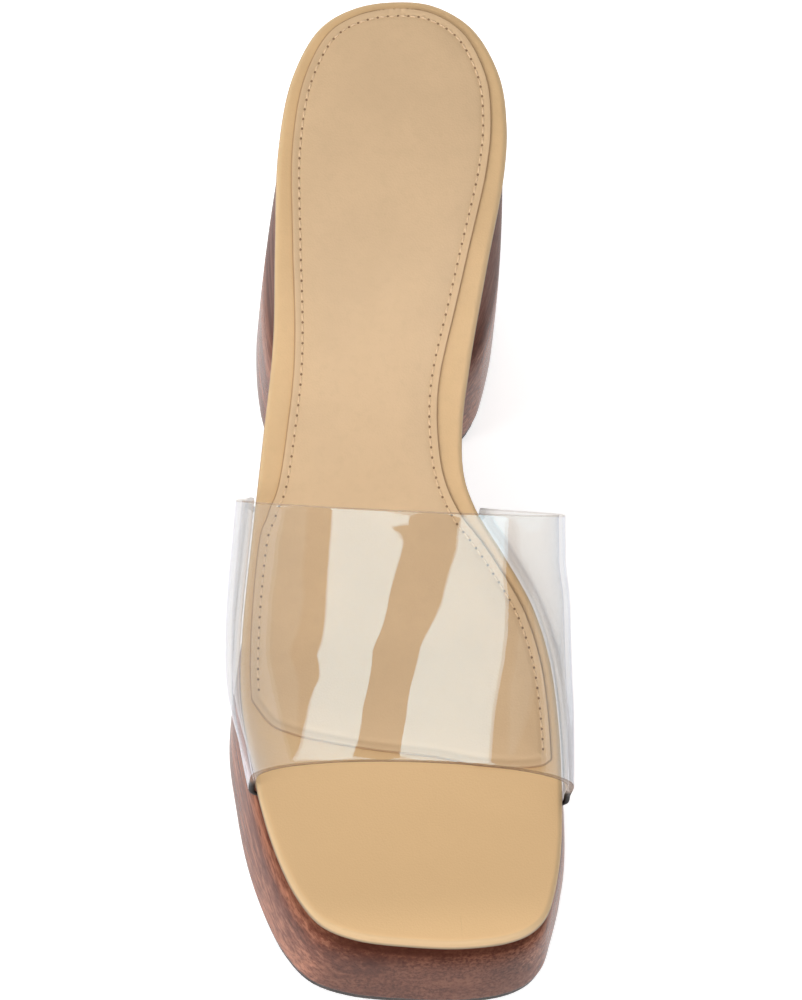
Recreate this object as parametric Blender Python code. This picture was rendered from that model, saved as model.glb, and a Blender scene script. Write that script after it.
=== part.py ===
"""Right shoe of a platform heel slide sandal, standing empty on its sole.

A wooden sole carved in one piece carries a leather footbed with a padded sock.
One wide band of clear vinyl is the upper. Its ends run round the edge of the
footbed and lie in pockets cut in the top of the wood.

Metres, +Z up, toe towards -Y, big toe side towards +X. The origin is the
centre of the heel's rest face on the floor.
"""

import math

import bmesh
import bpy
from mathutils import Vector

# The two sides of a right shoe along X: little toe and big toe
LATERAL = -1
MEDIAL = 1

# Overall sizes
FOOTBED_LENGTH = 0.2291      # level distance from the back of the seat to the toe
BALL_WIDTH = 0.0800          # widest part of the footbed
HEEL_HEIGHT = 0.1130         # floor to the top of the footbed at its back
FOREFOOT_HEIGHT = 0.0390     # floor to the top of the footbed at the ball

# Footbed and sock
FOOTBED_THICKNESS = 0.0045
FOOTBED_ROUND = 0.0015       # round of the wrapped leather edge
FOOTBED_TOE_LIFT = 0.0018    # how far the toe of the footbed curls up
SOCK_THICKNESS = 0.0012
SOCK_MARGIN = 0.0050         # plain rim between the sock and the footbed's edge
SOCK_BEVEL = 0.0005

# Wooden sole
WOOD_OVERHANG = 0.0010       # the footbed stands proud of the wood all round
HEEL_FLARE = 0.0040          # how far the block heel widens towards the floor
PLATFORM_FLARE = 0.0035      # how far the platform widens towards the floor
WAIST_THICKNESS = 0.0220     # wood left above the arch, measured upright
WOOD_CHAMFER = 0.0012        # broken edges of the wood
WALL_SWELL = 2.0             # power of the swelling of the side walls

# Rubber on the floor
OUTSOLE_THICKNESS = 0.0022
TOP_PIECE_THICKNESS = 0.0030
RUBBER_INSET = 0.0006        # rubber edge behind the wood edge
TOE_SPRING = 0.0048          # how far the toe is clear of the floor

# Clear band over the forefoot
BAND_WALL = 0.0016
BAND_TUCK = 0.0070           # length of each end under the footbed
BAND_BACK_HEIGHT = 0.0550    # inside height of the band at the throat
BAND_FRONT_HEIGHT = 0.0385   # and at the toe
BAND_LATERAL_BULGE = 0.0045  # how far the band stands out past its foot
BAND_MEDIAL_BULGE = 0.0180

# Clearances
GAP = 0.0003                 # between pieces that touch
BAND_CLEARANCE = 0.0004      # between the band and the footbed's edge
POCKET_END = 0.0008          # pocket past the band on its three closed sides
POCKET_REACH = 0.0080        # how far the pocket's cutter stands outside

# Angles, degrees
BAND_BACK_LEAN = 27.5        # lean of the band's edges towards the toe
BAND_FRONT_LEAN = 13.0

# Outer edge of the footbed on the little toe side.
# Columns: along, a share of FOOTBED_LENGTH; across, a share of BALL_WIDTH.
LATERAL_EDGE = [
    (0.0065, -0.112),
    (0.029, -0.222),
    (0.086, -0.320),
    (0.168, -0.378),
    (0.274, -0.404),
    (0.370, -0.422),
    (0.458, -0.463),
    (0.546, -0.506),
    (0.640, -0.548),
    (0.700, -0.560),
    (0.760, -0.543),
    (0.841, -0.503),
    (0.898, -0.457),
    (0.935, -0.412),
    (0.965, -0.350),
    (0.984, -0.245),
    (0.9955, -0.070),
]

# Outer edge of the footbed on the big toe side, in the same columns.
MEDIAL_EDGE = [
    (0.0065, 0.140),
    (0.036, 0.257),
    (0.094, 0.334),
    (0.150, 0.347),
    (0.204, 0.330),
    (0.306, 0.258),
    (0.395, 0.197),
    (0.457, 0.166),
    (0.500, 0.168),
    (0.532, 0.203),
    (0.578, 0.291),
    (0.625, 0.371),
    (0.673, 0.416),
    (0.723, 0.435),
    (0.790, 0.439),
    (0.883, 0.421),
    (0.940, 0.387),
    (0.968, 0.354),
    (0.985, 0.305),
    (0.9955, 0.230),
]

# The two ends of the outline, in the same columns.
SEAT_POINT = (0.0, 0.014)
TOE_POINT = (1.0, 0.085)

# Top of the footbed seen from the side.
# Columns: along, a share of FOOTBED_LENGTH; rise, a share of the drop from
# HEEL_HEIGHT to FOREFOOT_HEIGHT.
TOP_PROFILE = [
    (0.000, 1.000),
    (0.040, 0.995),
    (0.090, 0.980),
    (0.155, 0.950),
    (0.221, 0.906),
    (0.287, 0.842),
    (0.352, 0.750),
    (0.418, 0.628),
    (0.484, 0.493),
    (0.549, 0.358),
    (0.615, 0.236),
    (0.681, 0.136),
    (0.746, 0.062),
    (0.812, 0.018),
    (0.877, 0.000),
    (0.940, 0.000),
    (1.000, 0.000),
]

# Underside of the wood between heel and platform.
# Columns: along; opening, 0 on the floor line and 1 under the full arch.
ARCH_PROFILE = [
    (0.313, 0.00),
    (0.319, 0.14),
    (0.329, 0.43),
    (0.341, 0.69),
    (0.356, 0.88),
    (0.375, 0.98),
    (0.400, 1.00),
    (0.435, 0.99),
    (0.475, 0.89),
    (0.515, 0.68),
    (0.550, 0.38),
    (0.576, 0.13),
    (0.592, 0.00),
]
HEEL_BREAST = ARCH_PROFILE[0][0]
PLATFORM_BACK = ARCH_PROFILE[-1][0]
SEAT_BACK = 0.5 * HEEL_BREAST * FOOTBED_LENGTH    # from the origin to the seat's back

# Widening of the wood towards the floor, as shares of the local flare.
# Columns: along; lateral; medial.
FLARE_PROFILE = [
    (0.000, 0.30, 0.30),
    (0.080, 0.55, 0.75),
    (0.160, 0.70, 1.00),
    (0.220, 0.60, 0.95),
    (0.265, 0.35, 0.85),
    (0.295, -0.10, 0.50),
    (0.313, -0.55, 0.00),
    (0.350, -1.50, -1.20),
    (0.420, -1.90, -1.50),
    (0.500, -0.90, -0.70),
    (0.570, 0.10, 0.20),
    (0.645, 0.62, 0.80),
    (0.740, 0.80, 1.10),
    (0.825, 1.05, 1.15),
    (0.890, 1.10, 0.85),
    (0.945, 1.12, 0.60),
    (1.000, 0.90, 0.90),
]

# Rim between footbed edge and sock, as shares of SOCK_MARGIN.
# Columns: along; lateral; medial.
SOCK_RIM = [
    (0.000, 0.55, 0.55),
    (0.150, 0.65, 0.80),
    (0.250, 0.80, 0.95),
    (0.350, 1.00, 1.15),
    (0.420, 1.15, 1.38),
    (0.480, 1.10, 1.15),
    (0.530, 0.65, 0.85),
    (0.570, 0.35, 0.60),
    (0.680, 0.45, 0.50),
    (0.850, 0.55, 0.50),
]

# Front edge of the sock, under the band. Columns: across, a share of the
# sock's own width from the little toe side; along.
SOCK_FRONT = [
    (0.00, 0.712),
    (0.05, 0.738),
    (0.12, 0.750),
    (0.35, 0.768),
    (0.60, 0.784),
    (0.75, 0.798),
    (0.88, 0.803),
    (0.97, 0.801),
    (1.00, 0.794),
]

# Where the band's back and front edges meet the footbed's edge, along it.
BAND_PLACES = {LATERAL: (0.515, 0.803), MEDIAL: (0.532, 0.829)}
BAND_BULGE = {LATERAL: BAND_LATERAL_BULGE, MEDIAL: BAND_MEDIAL_BULGE}

# How the band's section changes from its back edge to its front edge.
# Columns: place, 0 at the back and 1 at the front; lateral bulge and medial
# bulge as shares of the named bulges; waist, the height of the widest point
# as a share of the band's height; squareness, the power of its arch.
BAND_SECTIONS = [
    (0.00, 1.00, 0.98, 0.46, 2.25),
    (0.25, 0.85, 0.39, 0.42, 2.20),
    (0.50, 0.65, 0.09, 0.36, 2.15),
    (0.75, 0.40, 0.02, 0.30, 2.10),
    (1.00, 0.00, 0.00, 0.24, 2.05),
]

# How upright the band's walls start from the footbed and reach their widest
# point, as shares of that point's height.
WALL_LOW_HANDLE = 0.35
WALL_HIGH_HANDLE = 0.60

# Where the footbed's toe and the outsole's toe spring start to rise, along.
FOOTBED_CURL_START = 0.88
SPRING_START = 0.80

# Fineness of the curves and lofts
CURVE_STEPS = 10
OUTLINE_STEPS = 42
CLOSEST_STATIONS = 0.0009
WALL_STEPS = 4
SOCK_STEPS = 24
BAND_ROWS = 14
BEND_STEPS = 3
WALL_BEND_STEPS = 4
ARCH_STEPS = 8
MERGE = 1e-6
SHARP_ANGLE = 35


def smooth_curve(points, steps):
    """Points on a centripetal Catmull-Rom curve through the given points."""
    ahead = points[0] * 2 - points[1]
    behind = points[-1] * 2 - points[-2]
    knots = [ahead] + list(points) + [behind]
    curve = []
    for i in range(1, len(knots) - 2):
        p0, p1, p2, p3 = knots[i - 1:i + 3]
        d01 = math.sqrt((p1 - p0).length)
        d12 = math.sqrt((p2 - p1).length)
        d23 = math.sqrt((p3 - p2).length)
        m1 = p2 - p1 + ((p1 - p0) / d01 - (p2 - p0) / (d01 + d12)) * d12
        m2 = p2 - p1 + ((p3 - p2) / d23 - (p3 - p1) / (d12 + d23)) * d12
        for k in range(steps):
            t = k / steps
            ends = p1 * (2 * t ** 3 - 3 * t ** 2 + 1) + p2 * (3 * t ** 2 - 2 * t ** 3)
            slopes = m1 * (t ** 3 - 2 * t ** 2 + t) + m2 * (t ** 3 - t ** 2)
            curve.append(ends + slopes)
    curve.append(points[-1])
    return curve


def read_curve(curve, key, place, wanted):
    """One coordinate of the curve where its key coordinate is place."""
    if place <= curve[0][key]:
        return curve[0][wanted]
    if place >= curve[-1][key]:
        return curve[-1][wanted]
    for a, b in zip(curve, curve[1:]):
        if a[key] <= place <= b[key] and b[key] > a[key]:
            share = (place - a[key]) / (b[key] - a[key])
            return a[wanted] + share * (b[wanted] - a[wanted])
    return curve[-1][wanted]


def table_curve(rows, column=1):
    """A smooth function from a table's first column to another column."""
    curve = smooth_curve([Vector((row[0], row[column])) for row in rows], CURVE_STEPS)
    return lambda place: read_curve(curve, 0, place, 1)


def footprint():
    """The footbed's outline, each side a curve (x, distance from the seat)."""
    def real(row):
        return Vector((row[1] * BALL_WIDTH, row[0] * FOOTBED_LENGTH))

    sides = {LATERAL: [real(row) for row in LATERAL_EDGE], MEDIAL: [real(row) for row in MEDIAL_EDGE]}
    outline = {}
    for side, near in sides.items():
        far = sides[-side]
        knots = [far[0], real(SEAT_POINT)] + near + [real(TOE_POINT), far[-1]]
        outline[side] = smooth_curve(knots, CURVE_STEPS)[CURVE_STEPS:-CURVE_STEPS]
    return outline


EDGE = footprint()
top_rise = table_curve(TOP_PROFILE)
arch_opening = table_curve(ARCH_PROFILE)
flare_share = {LATERAL: table_curve(FLARE_PROFILE, 1), MEDIAL: table_curve(FLARE_PROFILE, 2)}
rim_share = {LATERAL: table_curve(SOCK_RIM, 1), MEDIAL: table_curve(SOCK_RIM, 2)}
sock_front = table_curve(SOCK_FRONT)
band_bulge = {LATERAL: table_curve(BAND_SECTIONS, 1), MEDIAL: table_curve(BAND_SECTIONS, 2)}
band_waist = table_curve(BAND_SECTIONS, 3)
band_square = table_curve(BAND_SECTIONS, 4)


def between(first, last, share):
    return first + (last - first) * share


def along_to_y(along):
    return SEAT_BACK - along * FOOTBED_LENGTH


def y_to_along(y):
    return (SEAT_BACK - y) / FOOTBED_LENGTH


def curl(along, start, lift):
    """A toe that rises in a parabola from its start to its full lift."""
    return max(0.0, (along - start) / (1 - start)) ** 2 * lift


def top_height(along):
    """Height of the footbed's upper face."""
    drop = HEEL_HEIGHT - FOREFOOT_HEIGHT
    return FOREFOOT_HEIGHT + drop * top_rise(along) + curl(along, FOOTBED_CURL_START, FOOTBED_TOE_LIFT)


def slope_stretch(along):
    """Upright length that crosses one unit of thickness on the slope."""
    step = 0.01
    rise = top_height(along + step) - top_height(along - step)
    run = 2 * step * FOOTBED_LENGTH
    return math.hypot(rise, run) / run


def below_top(along, depth):
    """Height of the face that lies a thickness under the footbed's top."""
    return top_height(along) - depth * slope_stretch(along)


def wood_top(along):
    return below_top(along, FOOTBED_THICKNESS + GAP)


def outsole_bottom(along):
    return curl(along, SPRING_START, TOE_SPRING)


def wood_bottom(along):
    """Underside of the wood: heel seat, arch, platform and toe spring."""
    if along <= HEEL_BREAST:
        return TOP_PIECE_THICKNESS + GAP
    if along >= PLATFORM_BACK:
        return outsole_bottom(along) + OUTSOLE_THICKNESS + GAP
    share = (along - HEEL_BREAST) / (PLATFORM_BACK - HEEL_BREAST)
    ground = TOP_PIECE_THICKNESS + share * (OUTSOLE_THICKNESS - TOP_PIECE_THICKNESS) + GAP
    under_waist = wood_top(along) - WAIST_THICKNESS
    return ground + max(0.0, arch_opening(along)) * (under_waist - ground)


def edge_normal(side, along):
    """Outward direction of the outline in plan."""
    if along <= 0.0:
        return Vector((0.0, 1.0))
    if along >= 1.0:
        return Vector((0.0, -1.0))
    reach = 0.003
    low = max(0.0, along - reach) * FOOTBED_LENGTH
    high = min(1.0, along + reach) * FOOTBED_LENGTH
    slip = read_curve(EDGE[side], 1, high, 0) - read_curve(EDGE[side], 1, low, 0)
    return (Vector((high - low, slip)) * side).normalized()


def edge_x(side, along):
    """The outline across the shoe. Both sides share its two end points."""
    if along <= 0.0:
        return EDGE[side][0].x
    if along >= 1.0:
        return EDGE[side][-1].x
    return read_curve(EDGE[side], 1, along * FOOTBED_LENGTH, 0)


def edge_point(side, along, outward=0.0):
    """A point (x, y) of the outline, moved outward square to it."""
    place = Vector((edge_x(side, along), along_to_y(along)))
    return place + edge_normal(side, along) * outward


def stations(first, last, extra=()):
    """Places along the footbed, closer together at its two round ends."""
    places = [first, last, *extra]
    for k in range(OUTLINE_STEPS + 1):
        places.append(0.5 - 0.5 * math.cos(math.pi * k / OUTLINE_STEPS))
    ordered = [first]
    for place in sorted(places):
        if place - ordered[-1] > CLOSEST_STATIONS and place < last - CLOSEST_STATIONS:
            ordered.append(place)
    return ordered + [last]


def loft(bm, loops, closed_start=True, closed_end=True):
    """Skin through loops. A loop's second half runs back along its first."""
    rings = [[bm.verts.new(point) for point in loop] for loop in loops]
    count = len(rings[0])
    for ring, following in zip(rings, rings[1:]):
        for i in range(count):
            j = (i + 1) % count
            bm.faces.new((ring[i], ring[j], following[j], following[i]))
    for ring, closed in ((rings[0], closed_start), (rings[-1], closed_end)):
        if closed:
            for i in range(count // 2 - 1):
                bm.faces.new((ring[i], ring[i + 1], ring[count - 2 - i], ring[count - 1 - i]))


def closed_mesh(name, loops, closed_start=True, closed_end=True):
    """A mesh skinned through loops, its faces pointing out."""
    bm = bmesh.new()
    loft(bm, loops, closed_start, closed_end)
    bmesh.ops.remove_doubles(bm, verts=bm.verts, dist=MERGE)
    bmesh.ops.recalc_face_normals(bm, faces=bm.faces)
    mesh = bpy.data.meshes.new(name)
    bm.to_mesh(mesh)
    bm.free()
    mesh.shade_smooth()
    mesh.set_sharp_from_angle(angle=math.radians(SHARP_ANGLE))
    return mesh


def cross_loop(along, levels):
    """A loop across the shoe. levels(side, along) gives rows (outward, height)."""
    half = {}
    for side in (LATERAL, MEDIAL):
        half[side] = []
        for outward, height in levels(side, along):
            point = edge_point(side, along, outward)
            half[side].append(Vector((point.x, point.y, height(y_to_along(point.y)))))
    return half[LATERAL] + half[MEDIAL][::-1]


def footbed_mesh():
    """A board of even thickness with a round edge that follows the slope."""
    corner = FOOTBED_ROUND * (1 - math.sqrt(0.5))
    edge = [
        (FOOTBED_ROUND, FOOTBED_THICKNESS),
        (corner, FOOTBED_THICKNESS - corner),
        (0.0, FOOTBED_THICKNESS - FOOTBED_ROUND),
        (0.0, FOOTBED_ROUND),
        (corner, corner),
        (FOOTBED_ROUND, 0.0),
    ]

    def levels(side, along):
        return [(-inset, lambda a, depth=depth: below_top(a, depth)) for inset, depth in edge]

    loops = [cross_loop(place, levels) for place in stations(0.0, 1.0)]
    return closed_mesh("footbed", loops, closed_start=False, closed_end=False)


def wall_offset(side, along, height):
    """How far the wooden wall stands outside the footbed's edge."""
    forward = (along - HEEL_BREAST) / (PLATFORM_BACK - HEEL_BREAST)
    flare = between(HEEL_FLARE, PLATFORM_FLARE, min(1.0, max(0.0, forward)))
    drop = min(1.0, max(0.0, height / wood_top(along)))
    return flare_share[side](along) * flare * (1 - drop ** WALL_SWELL) - WOOD_OVERHANG


def wood_height(along, share):
    low = wood_bottom(along)
    return low + share * (wood_top(along) - low)


def wood_levels(side, along):
    """Rows of the wooden wall, its lower and upper edges broken."""
    depth = wood_top(along) - wood_bottom(along)
    broken = WOOD_CHAMFER / depth
    rows = [(0.0, WOOD_CHAMFER)]
    for k in range(WALL_STEPS + 1):
        rows.append((broken + (1 - 2 * broken) * k / WALL_STEPS, 0.0))
    rows.append((1.0, WOOD_CHAMFER))
    levels = []
    for share, inset in rows:
        outward = wall_offset(side, along, wood_height(along, share)) - inset
        levels.append((outward, lambda a, share=share: wood_height(a, share)))
    return levels


def wood_mesh():
    """Heel, waist and platform in one piece."""
    arch = [row[0] for row in ARCH_PROFILE]
    arch += [0.5 * (a + b) for a, b in zip(arch, arch[1:])]
    loops = [cross_loop(place, wood_levels) for place in stations(0.0, 1.0, arch)]
    return closed_mesh("wood_sole", loops, closed_start=False, closed_end=False)


def rubber_mesh(name, first, last, bottom, thickness):
    """A rubber sheet on the floor side of the wood."""
    def levels(side, along):
        outward = wall_offset(side, along, wood_bottom(along)) - RUBBER_INSET
        return [(outward, bottom), (outward, lambda a: bottom(a) + thickness)]

    loops = [cross_loop(place, levels) for place in stations(first, last)]
    return closed_mesh(name, loops, closed_start=first > 0.0, closed_end=last < 1.0)


def outsole_mesh():
    return rubber_mesh("outsole", PLATFORM_BACK, 1.0, outsole_bottom, OUTSOLE_THICKNESS)


def top_piece_mesh():
    return rubber_mesh("heel_top_piece", 0.0, HEEL_BREAST, lambda a: 0.0, TOP_PIECE_THICKNESS)


def sock_point(place, across, inset, rise):
    """A point of the sock. Place runs from its back, 0, to its front edge, 1."""
    along = place * sock_front(across)
    ends = []
    for side in (LATERAL, MEDIAL):
        margin = rim_share[side](along) * SOCK_MARGIN
        ends.append(edge_point(side, along, -margin - inset))
    point = ends[0].lerp(ends[1], across)
    spot = y_to_along(point.y)
    return Vector((point.x, point.y, below_top(spot, -GAP - rise)))


def sock_mesh():
    """A thin pad with a sloping edge that follows the footbed."""
    shares = [row[0] for row in SOCK_FRONT]
    front_step = SOCK_BEVEL / (sock_front(0.5) * FOOTBED_LENGTH)
    loops = []
    for k in range(SOCK_STEPS + 1):
        place = 0.5 - 0.5 * math.cos(math.pi * k / SOCK_STEPS)
        upper_place = min(place, 1.0 - front_step)
        under = [sock_point(place, share, 0.0, 0.0) for share in shares]
        upper = [sock_point(upper_place, share, SOCK_BEVEL, SOCK_THICKNESS) for share in shares]
        loops.append(under + upper[::-1])
    return closed_mesh("sock", loops, closed_start=False)


def band_edge(side, place):
    """Place on the footbed's edge of one end of the band."""
    first, last = BAND_PLACES[side]
    return edge_point(side, between(first, last, place))


def band_base(place, x):
    """Point of the footbed's top under x, on the line between the band's ends."""
    left = band_edge(LATERAL, place)
    right = band_edge(MEDIAL, place)
    share = (x - left.x) / (right.x - left.x)
    y = between(left.y, right.y, share)
    return Vector((x, y, top_height(y_to_along(y))))


def band_point(place, x, height):
    """A point of the band in space. Below the top it follows the footbed."""
    base = band_base(place, x)
    if height <= 0.0:
        spot = y_to_along(base.y)
        return Vector((base.x, base.y, below_top(spot, -height)))
    lean = math.radians(between(BAND_BACK_LEAN, BAND_FRONT_LEAN, place))
    return base + Vector((0.0, -math.sin(lean), math.cos(lean))) * height


def band_end_path(side, place):
    """Middle line of one end, from under the footbed up to its top."""
    edge = band_edge(side, place).x
    along = between(*BAND_PLACES[side], place)
    stretch = 1 / abs(edge_normal(side, along).x)
    radius = FOOTBED_ROUND + BAND_CLEARANCE + BAND_WALL / 2
    depth = FOOTBED_THICKNESS - FOOTBED_ROUND
    path = [(edge - side * BAND_TUCK, -depth - radius)]
    for k in range(BEND_STEPS + 1):
        turn = math.radians(90 * k / BEND_STEPS)
        outward = (radius * math.sin(turn) - FOOTBED_ROUND) * stretch
        path.append((edge + side * outward, -depth - radius * math.cos(turn)))
    foot = (edge + side * (radius - FOOTBED_ROUND) * stretch, 0.0)
    return path + [foot]


def band_path(place):
    """Middle line of the band's section, from one hidden end to the other."""
    height = between(BAND_BACK_HEIGHT, BAND_FRONT_HEIGHT, place) + BAND_WALL / 2
    ends = {}
    walls = {}
    wide = {}
    waist = height * band_waist(place)
    power = 2 / band_square(place)
    for side in (LATERAL, MEDIAL):
        ends[side] = band_end_path(side, place)
        foot = ends[side][-1][0]
        wide[side] = foot + side * BAND_BULGE[side] * band_bulge[side](place)
        walls[side] = []
        for k in range(1, WALL_BEND_STEPS + 1):
            t = k / WALL_BEND_STEPS
            x = bezier(foot, foot, wide[side], wide[side], t)
            rise = bezier(0.0, WALL_LOW_HANDLE * waist, WALL_HIGH_HANDLE * waist, waist, t)
            walls[side].append((x, rise))
    middle = 0.5 * (wide[LATERAL] + wide[MEDIAL])
    arch = []
    for k in range(1, 2 * ARCH_STEPS):
        turn = math.pi * k / (2 * ARCH_STEPS)
        reach = math.copysign(abs(math.cos(turn)) ** power, math.cos(turn))
        half = wide[LATERAL] - middle
        rise = math.sin(turn) ** power
        arch.append((middle + half * reach, waist + (height - waist) * rise))
    left = ends[LATERAL] + walls[LATERAL]
    right = ends[MEDIAL] + walls[MEDIAL]
    return left + arch + right[::-1]


def bezier(start, out, back, end, t):
    """A number on a cubic Bezier curve with two handles."""
    near = start * (1 - t) ** 3 + 3 * out * t * (1 - t) ** 2
    return near + 3 * back * t ** 2 * (1 - t) + end * t ** 3


def offset_path(path, distance):
    """The path moved sideways by a distance, positive to its left."""
    moved = []
    for i, point in enumerate(path):
        before = Vector(path[max(0, i - 1)])
        after = Vector(path[min(len(path) - 1, i + 1)])
        here = Vector(point)
        run_in = (here - before).normalized() if i else (after - here).normalized()
        run_out = (after - here).normalized() if i < len(path) - 1 else run_in
        middle = (run_in + run_out).normalized()
        square = Vector((-middle.y, middle.x))
        widen = 1 / max(0.5, middle.dot(run_out))
        moved.append(here + square * distance * widen)
    return moved


def band_places():
    return [k / BAND_ROWS for k in range(BAND_ROWS + 1)]


def strap_mesh():
    """One hollow band: outer and inner face through the same sections."""
    loops = []
    for place in band_places():
        path = band_path(place)
        faces = []
        for distance in (BAND_WALL / 2, -BAND_WALL / 2):
            faces.append([band_point(place, p.x, p.y) for p in offset_path(path, distance)])
        loops.append(faces[0] + faces[1][::-1])
    return closed_mesh("strap", loops)


def pocket_mesh(side):
    """The space cut in the wood for one end of the band."""
    first, last = BAND_PLACES[side]
    past = POCKET_END / ((last - first) * FOOTBED_LENGTH)
    floor = FOOTBED_THICKNESS + BAND_CLEARANCE + BAND_WALL + GAP
    loops = []
    for place in [-past] + band_places() + [1 + past]:
        edge = band_edge(side, place).x
        inner = edge - side * (BAND_TUCK + POCKET_END)
        outer = edge + side * POCKET_REACH
        corners = [(inner, -floor), (outer, -floor), (outer, 0.0), (inner, 0.0)]
        loops.append([band_point(place, x, height) for x, height in corners])
    return closed_mesh("pocket", loops)


def finish(name, colour, roughness, coat=0.0, transmission=0.0):
    """A Principled material."""
    material = bpy.data.materials.new(name)
    material.use_nodes = True
    shader = material.node_tree.nodes["Principled BSDF"]
    shader.inputs["Base Color"].default_value = (*colour, 1.0)
    shader.inputs["Roughness"].default_value = roughness
    shader.inputs["Metallic"].default_value = 0.0
    shader.inputs["Coat Weight"].default_value = coat
    shader.inputs["Transmission Weight"].default_value = transmission
    return material


def add_piece(mesh, material, parent):
    """An object of one piece, standing in the shoe."""
    mesh.materials.append(material)
    piece = bpy.data.objects.new(mesh.name, mesh)
    piece.parent = parent
    bpy.context.scene.collection.objects.link(piece)
    return piece


def cut_pocket(wood, side, parent):
    """Cut the space for one end of the band out of the wood."""
    cutter = bpy.data.objects.new("pocket_cutter", pocket_mesh(side))
    cutter.parent = parent
    cutter.hide_render = True
    cutter.display_type = "WIRE"
    bpy.context.scene.collection.objects.link(cutter)
    cut = wood.modifiers.new("pocket", "BOOLEAN")
    cut.operation = "DIFFERENCE"
    cut.solver = "EXACT"
    cut.object = cutter


def main():
    for old in list(bpy.data.objects):
        bpy.data.objects.remove(old, do_unlink=True)
    shoe = bpy.data.objects.new("right_shoe", None)
    bpy.context.scene.collection.objects.link(shoe)

    tan_leather = finish("tan_leather", (0.66, 0.43, 0.22), 0.45)
    sock_leather = finish("sock_leather", (0.72, 0.49, 0.28), 0.42)
    clear_vinyl = finish("clear_vinyl", (0.92, 0.92, 0.92), 0.05, transmission=0.95)
    stained_wood = finish("stained_wood", (0.20, 0.07, 0.04), 0.30, coat=0.5)
    dark_rubber = finish("dark_rubber", (0.03, 0.02, 0.02), 0.70)

    wood = add_piece(wood_mesh(), stained_wood, shoe)
    for side in (LATERAL, MEDIAL):
        cut_pocket(wood, side, shoe)
    add_piece(footbed_mesh(), tan_leather, shoe)
    add_piece(sock_mesh(), sock_leather, shoe)
    add_piece(strap_mesh(), clear_vinyl, shoe)
    add_piece(outsole_mesh(), dark_rubber, shoe)
    add_piece(top_piece_mesh(), dark_rubber, shoe)


main()
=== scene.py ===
"""Looks of a right platform heel slide sandal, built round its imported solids.

A carved wooden sole carries a leather footbed with a stitched sock. One wide
band of clear vinyl is the upper. Metres, +Z up, toe towards -Y, big toe side
towards +X. The origin is the centre of the heel's rest face on the floor.
"""

import math

import bmesh
import bpy
import numpy as np
from mathutils import Matrix, Vector, kdtree


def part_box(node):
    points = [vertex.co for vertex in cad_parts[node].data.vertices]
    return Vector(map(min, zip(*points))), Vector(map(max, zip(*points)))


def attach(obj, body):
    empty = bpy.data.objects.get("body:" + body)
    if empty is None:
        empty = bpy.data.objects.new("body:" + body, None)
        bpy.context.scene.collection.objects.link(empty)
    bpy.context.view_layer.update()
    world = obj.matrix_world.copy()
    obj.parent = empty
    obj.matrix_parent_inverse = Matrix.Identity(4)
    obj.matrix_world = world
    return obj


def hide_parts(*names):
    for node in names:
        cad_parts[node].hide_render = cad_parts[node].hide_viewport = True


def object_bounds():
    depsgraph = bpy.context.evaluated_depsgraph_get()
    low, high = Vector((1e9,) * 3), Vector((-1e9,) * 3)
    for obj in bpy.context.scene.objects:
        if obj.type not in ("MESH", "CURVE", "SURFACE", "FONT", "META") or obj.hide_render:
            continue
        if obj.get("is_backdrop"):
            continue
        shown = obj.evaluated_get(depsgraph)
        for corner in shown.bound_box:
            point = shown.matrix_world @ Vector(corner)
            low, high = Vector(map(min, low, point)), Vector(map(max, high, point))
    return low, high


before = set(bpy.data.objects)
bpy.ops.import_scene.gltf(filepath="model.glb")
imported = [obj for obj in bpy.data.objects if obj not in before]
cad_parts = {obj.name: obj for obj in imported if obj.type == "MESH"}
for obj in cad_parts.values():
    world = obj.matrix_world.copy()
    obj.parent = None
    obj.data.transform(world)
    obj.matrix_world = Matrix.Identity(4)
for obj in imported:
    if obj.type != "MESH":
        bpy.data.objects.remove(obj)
CAD_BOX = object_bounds()

bl_info = {
    "name": "Platform Heel Slide",
    "version": (1, 0, 0),
    "blender": (4, 5, 0),
    "location": "View3D > Sidebar > Slide",
    "description": "Makes the finished pieces of a platform heel slide sandal",
    "category": "Object",
}

BODY = "root"

# The two sides of a right shoe along X: little toe and big toe
LATERAL = -1
MEDIAL = 1

# Sizes of the solids in the frame, in metres
FOOTBED_LOW, FOOTBED_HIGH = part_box("footbed")
SEAT_BACK = FOOTBED_HIGH.y
FOOTBED_LENGTH = FOOTBED_HIGH.y - FOOTBED_LOW.y
BALL_WIDTH = 0.0800
HEEL_HEIGHT = 0.1130
FOREFOOT_HEIGHT = 0.0390
FOOTBED_THICKNESS = 0.0045
FOOTBED_ROUND = 0.0015
FOOTBED_TOE_LIFT = 0.0018
SOCK_TOP = 0.0011            # top of the sock over the footbed
SOCK_MARGIN = 0.0050
WOOD_OVERHANG = 0.0010
HEEL_FLARE = 0.0040
PLATFORM_FLARE = 0.0035
WAIST_THICKNESS = 0.0220
WOOD_ROUND = 0.0012
WALL_SWELL = 2.0
OUTSOLE_THICKNESS = 0.0022
TOP_PIECE_THICKNESS = 0.0030
RUBBER_INSET = 0.0006
RUBBER_ROUND = 0.0004
TOE_SPRING = 0.0048
BAND_WALL = 0.0016
BAND_TUCK = 0.0070
BAND_BACK_HEIGHT = 0.0550
BAND_FRONT_HEIGHT = 0.0385
BAND_BULGE = {LATERAL: 0.0045, MEDIAL: 0.0180}
GAP = 0.0003
BAND_CLEARANCE = 0.0004
POCKET_END = 0.0008
POCKET_REACH = 0.0080
BAND_BACK_LEAN = 27.5        # degrees
BAND_FRONT_LEAN = 13.0

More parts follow.
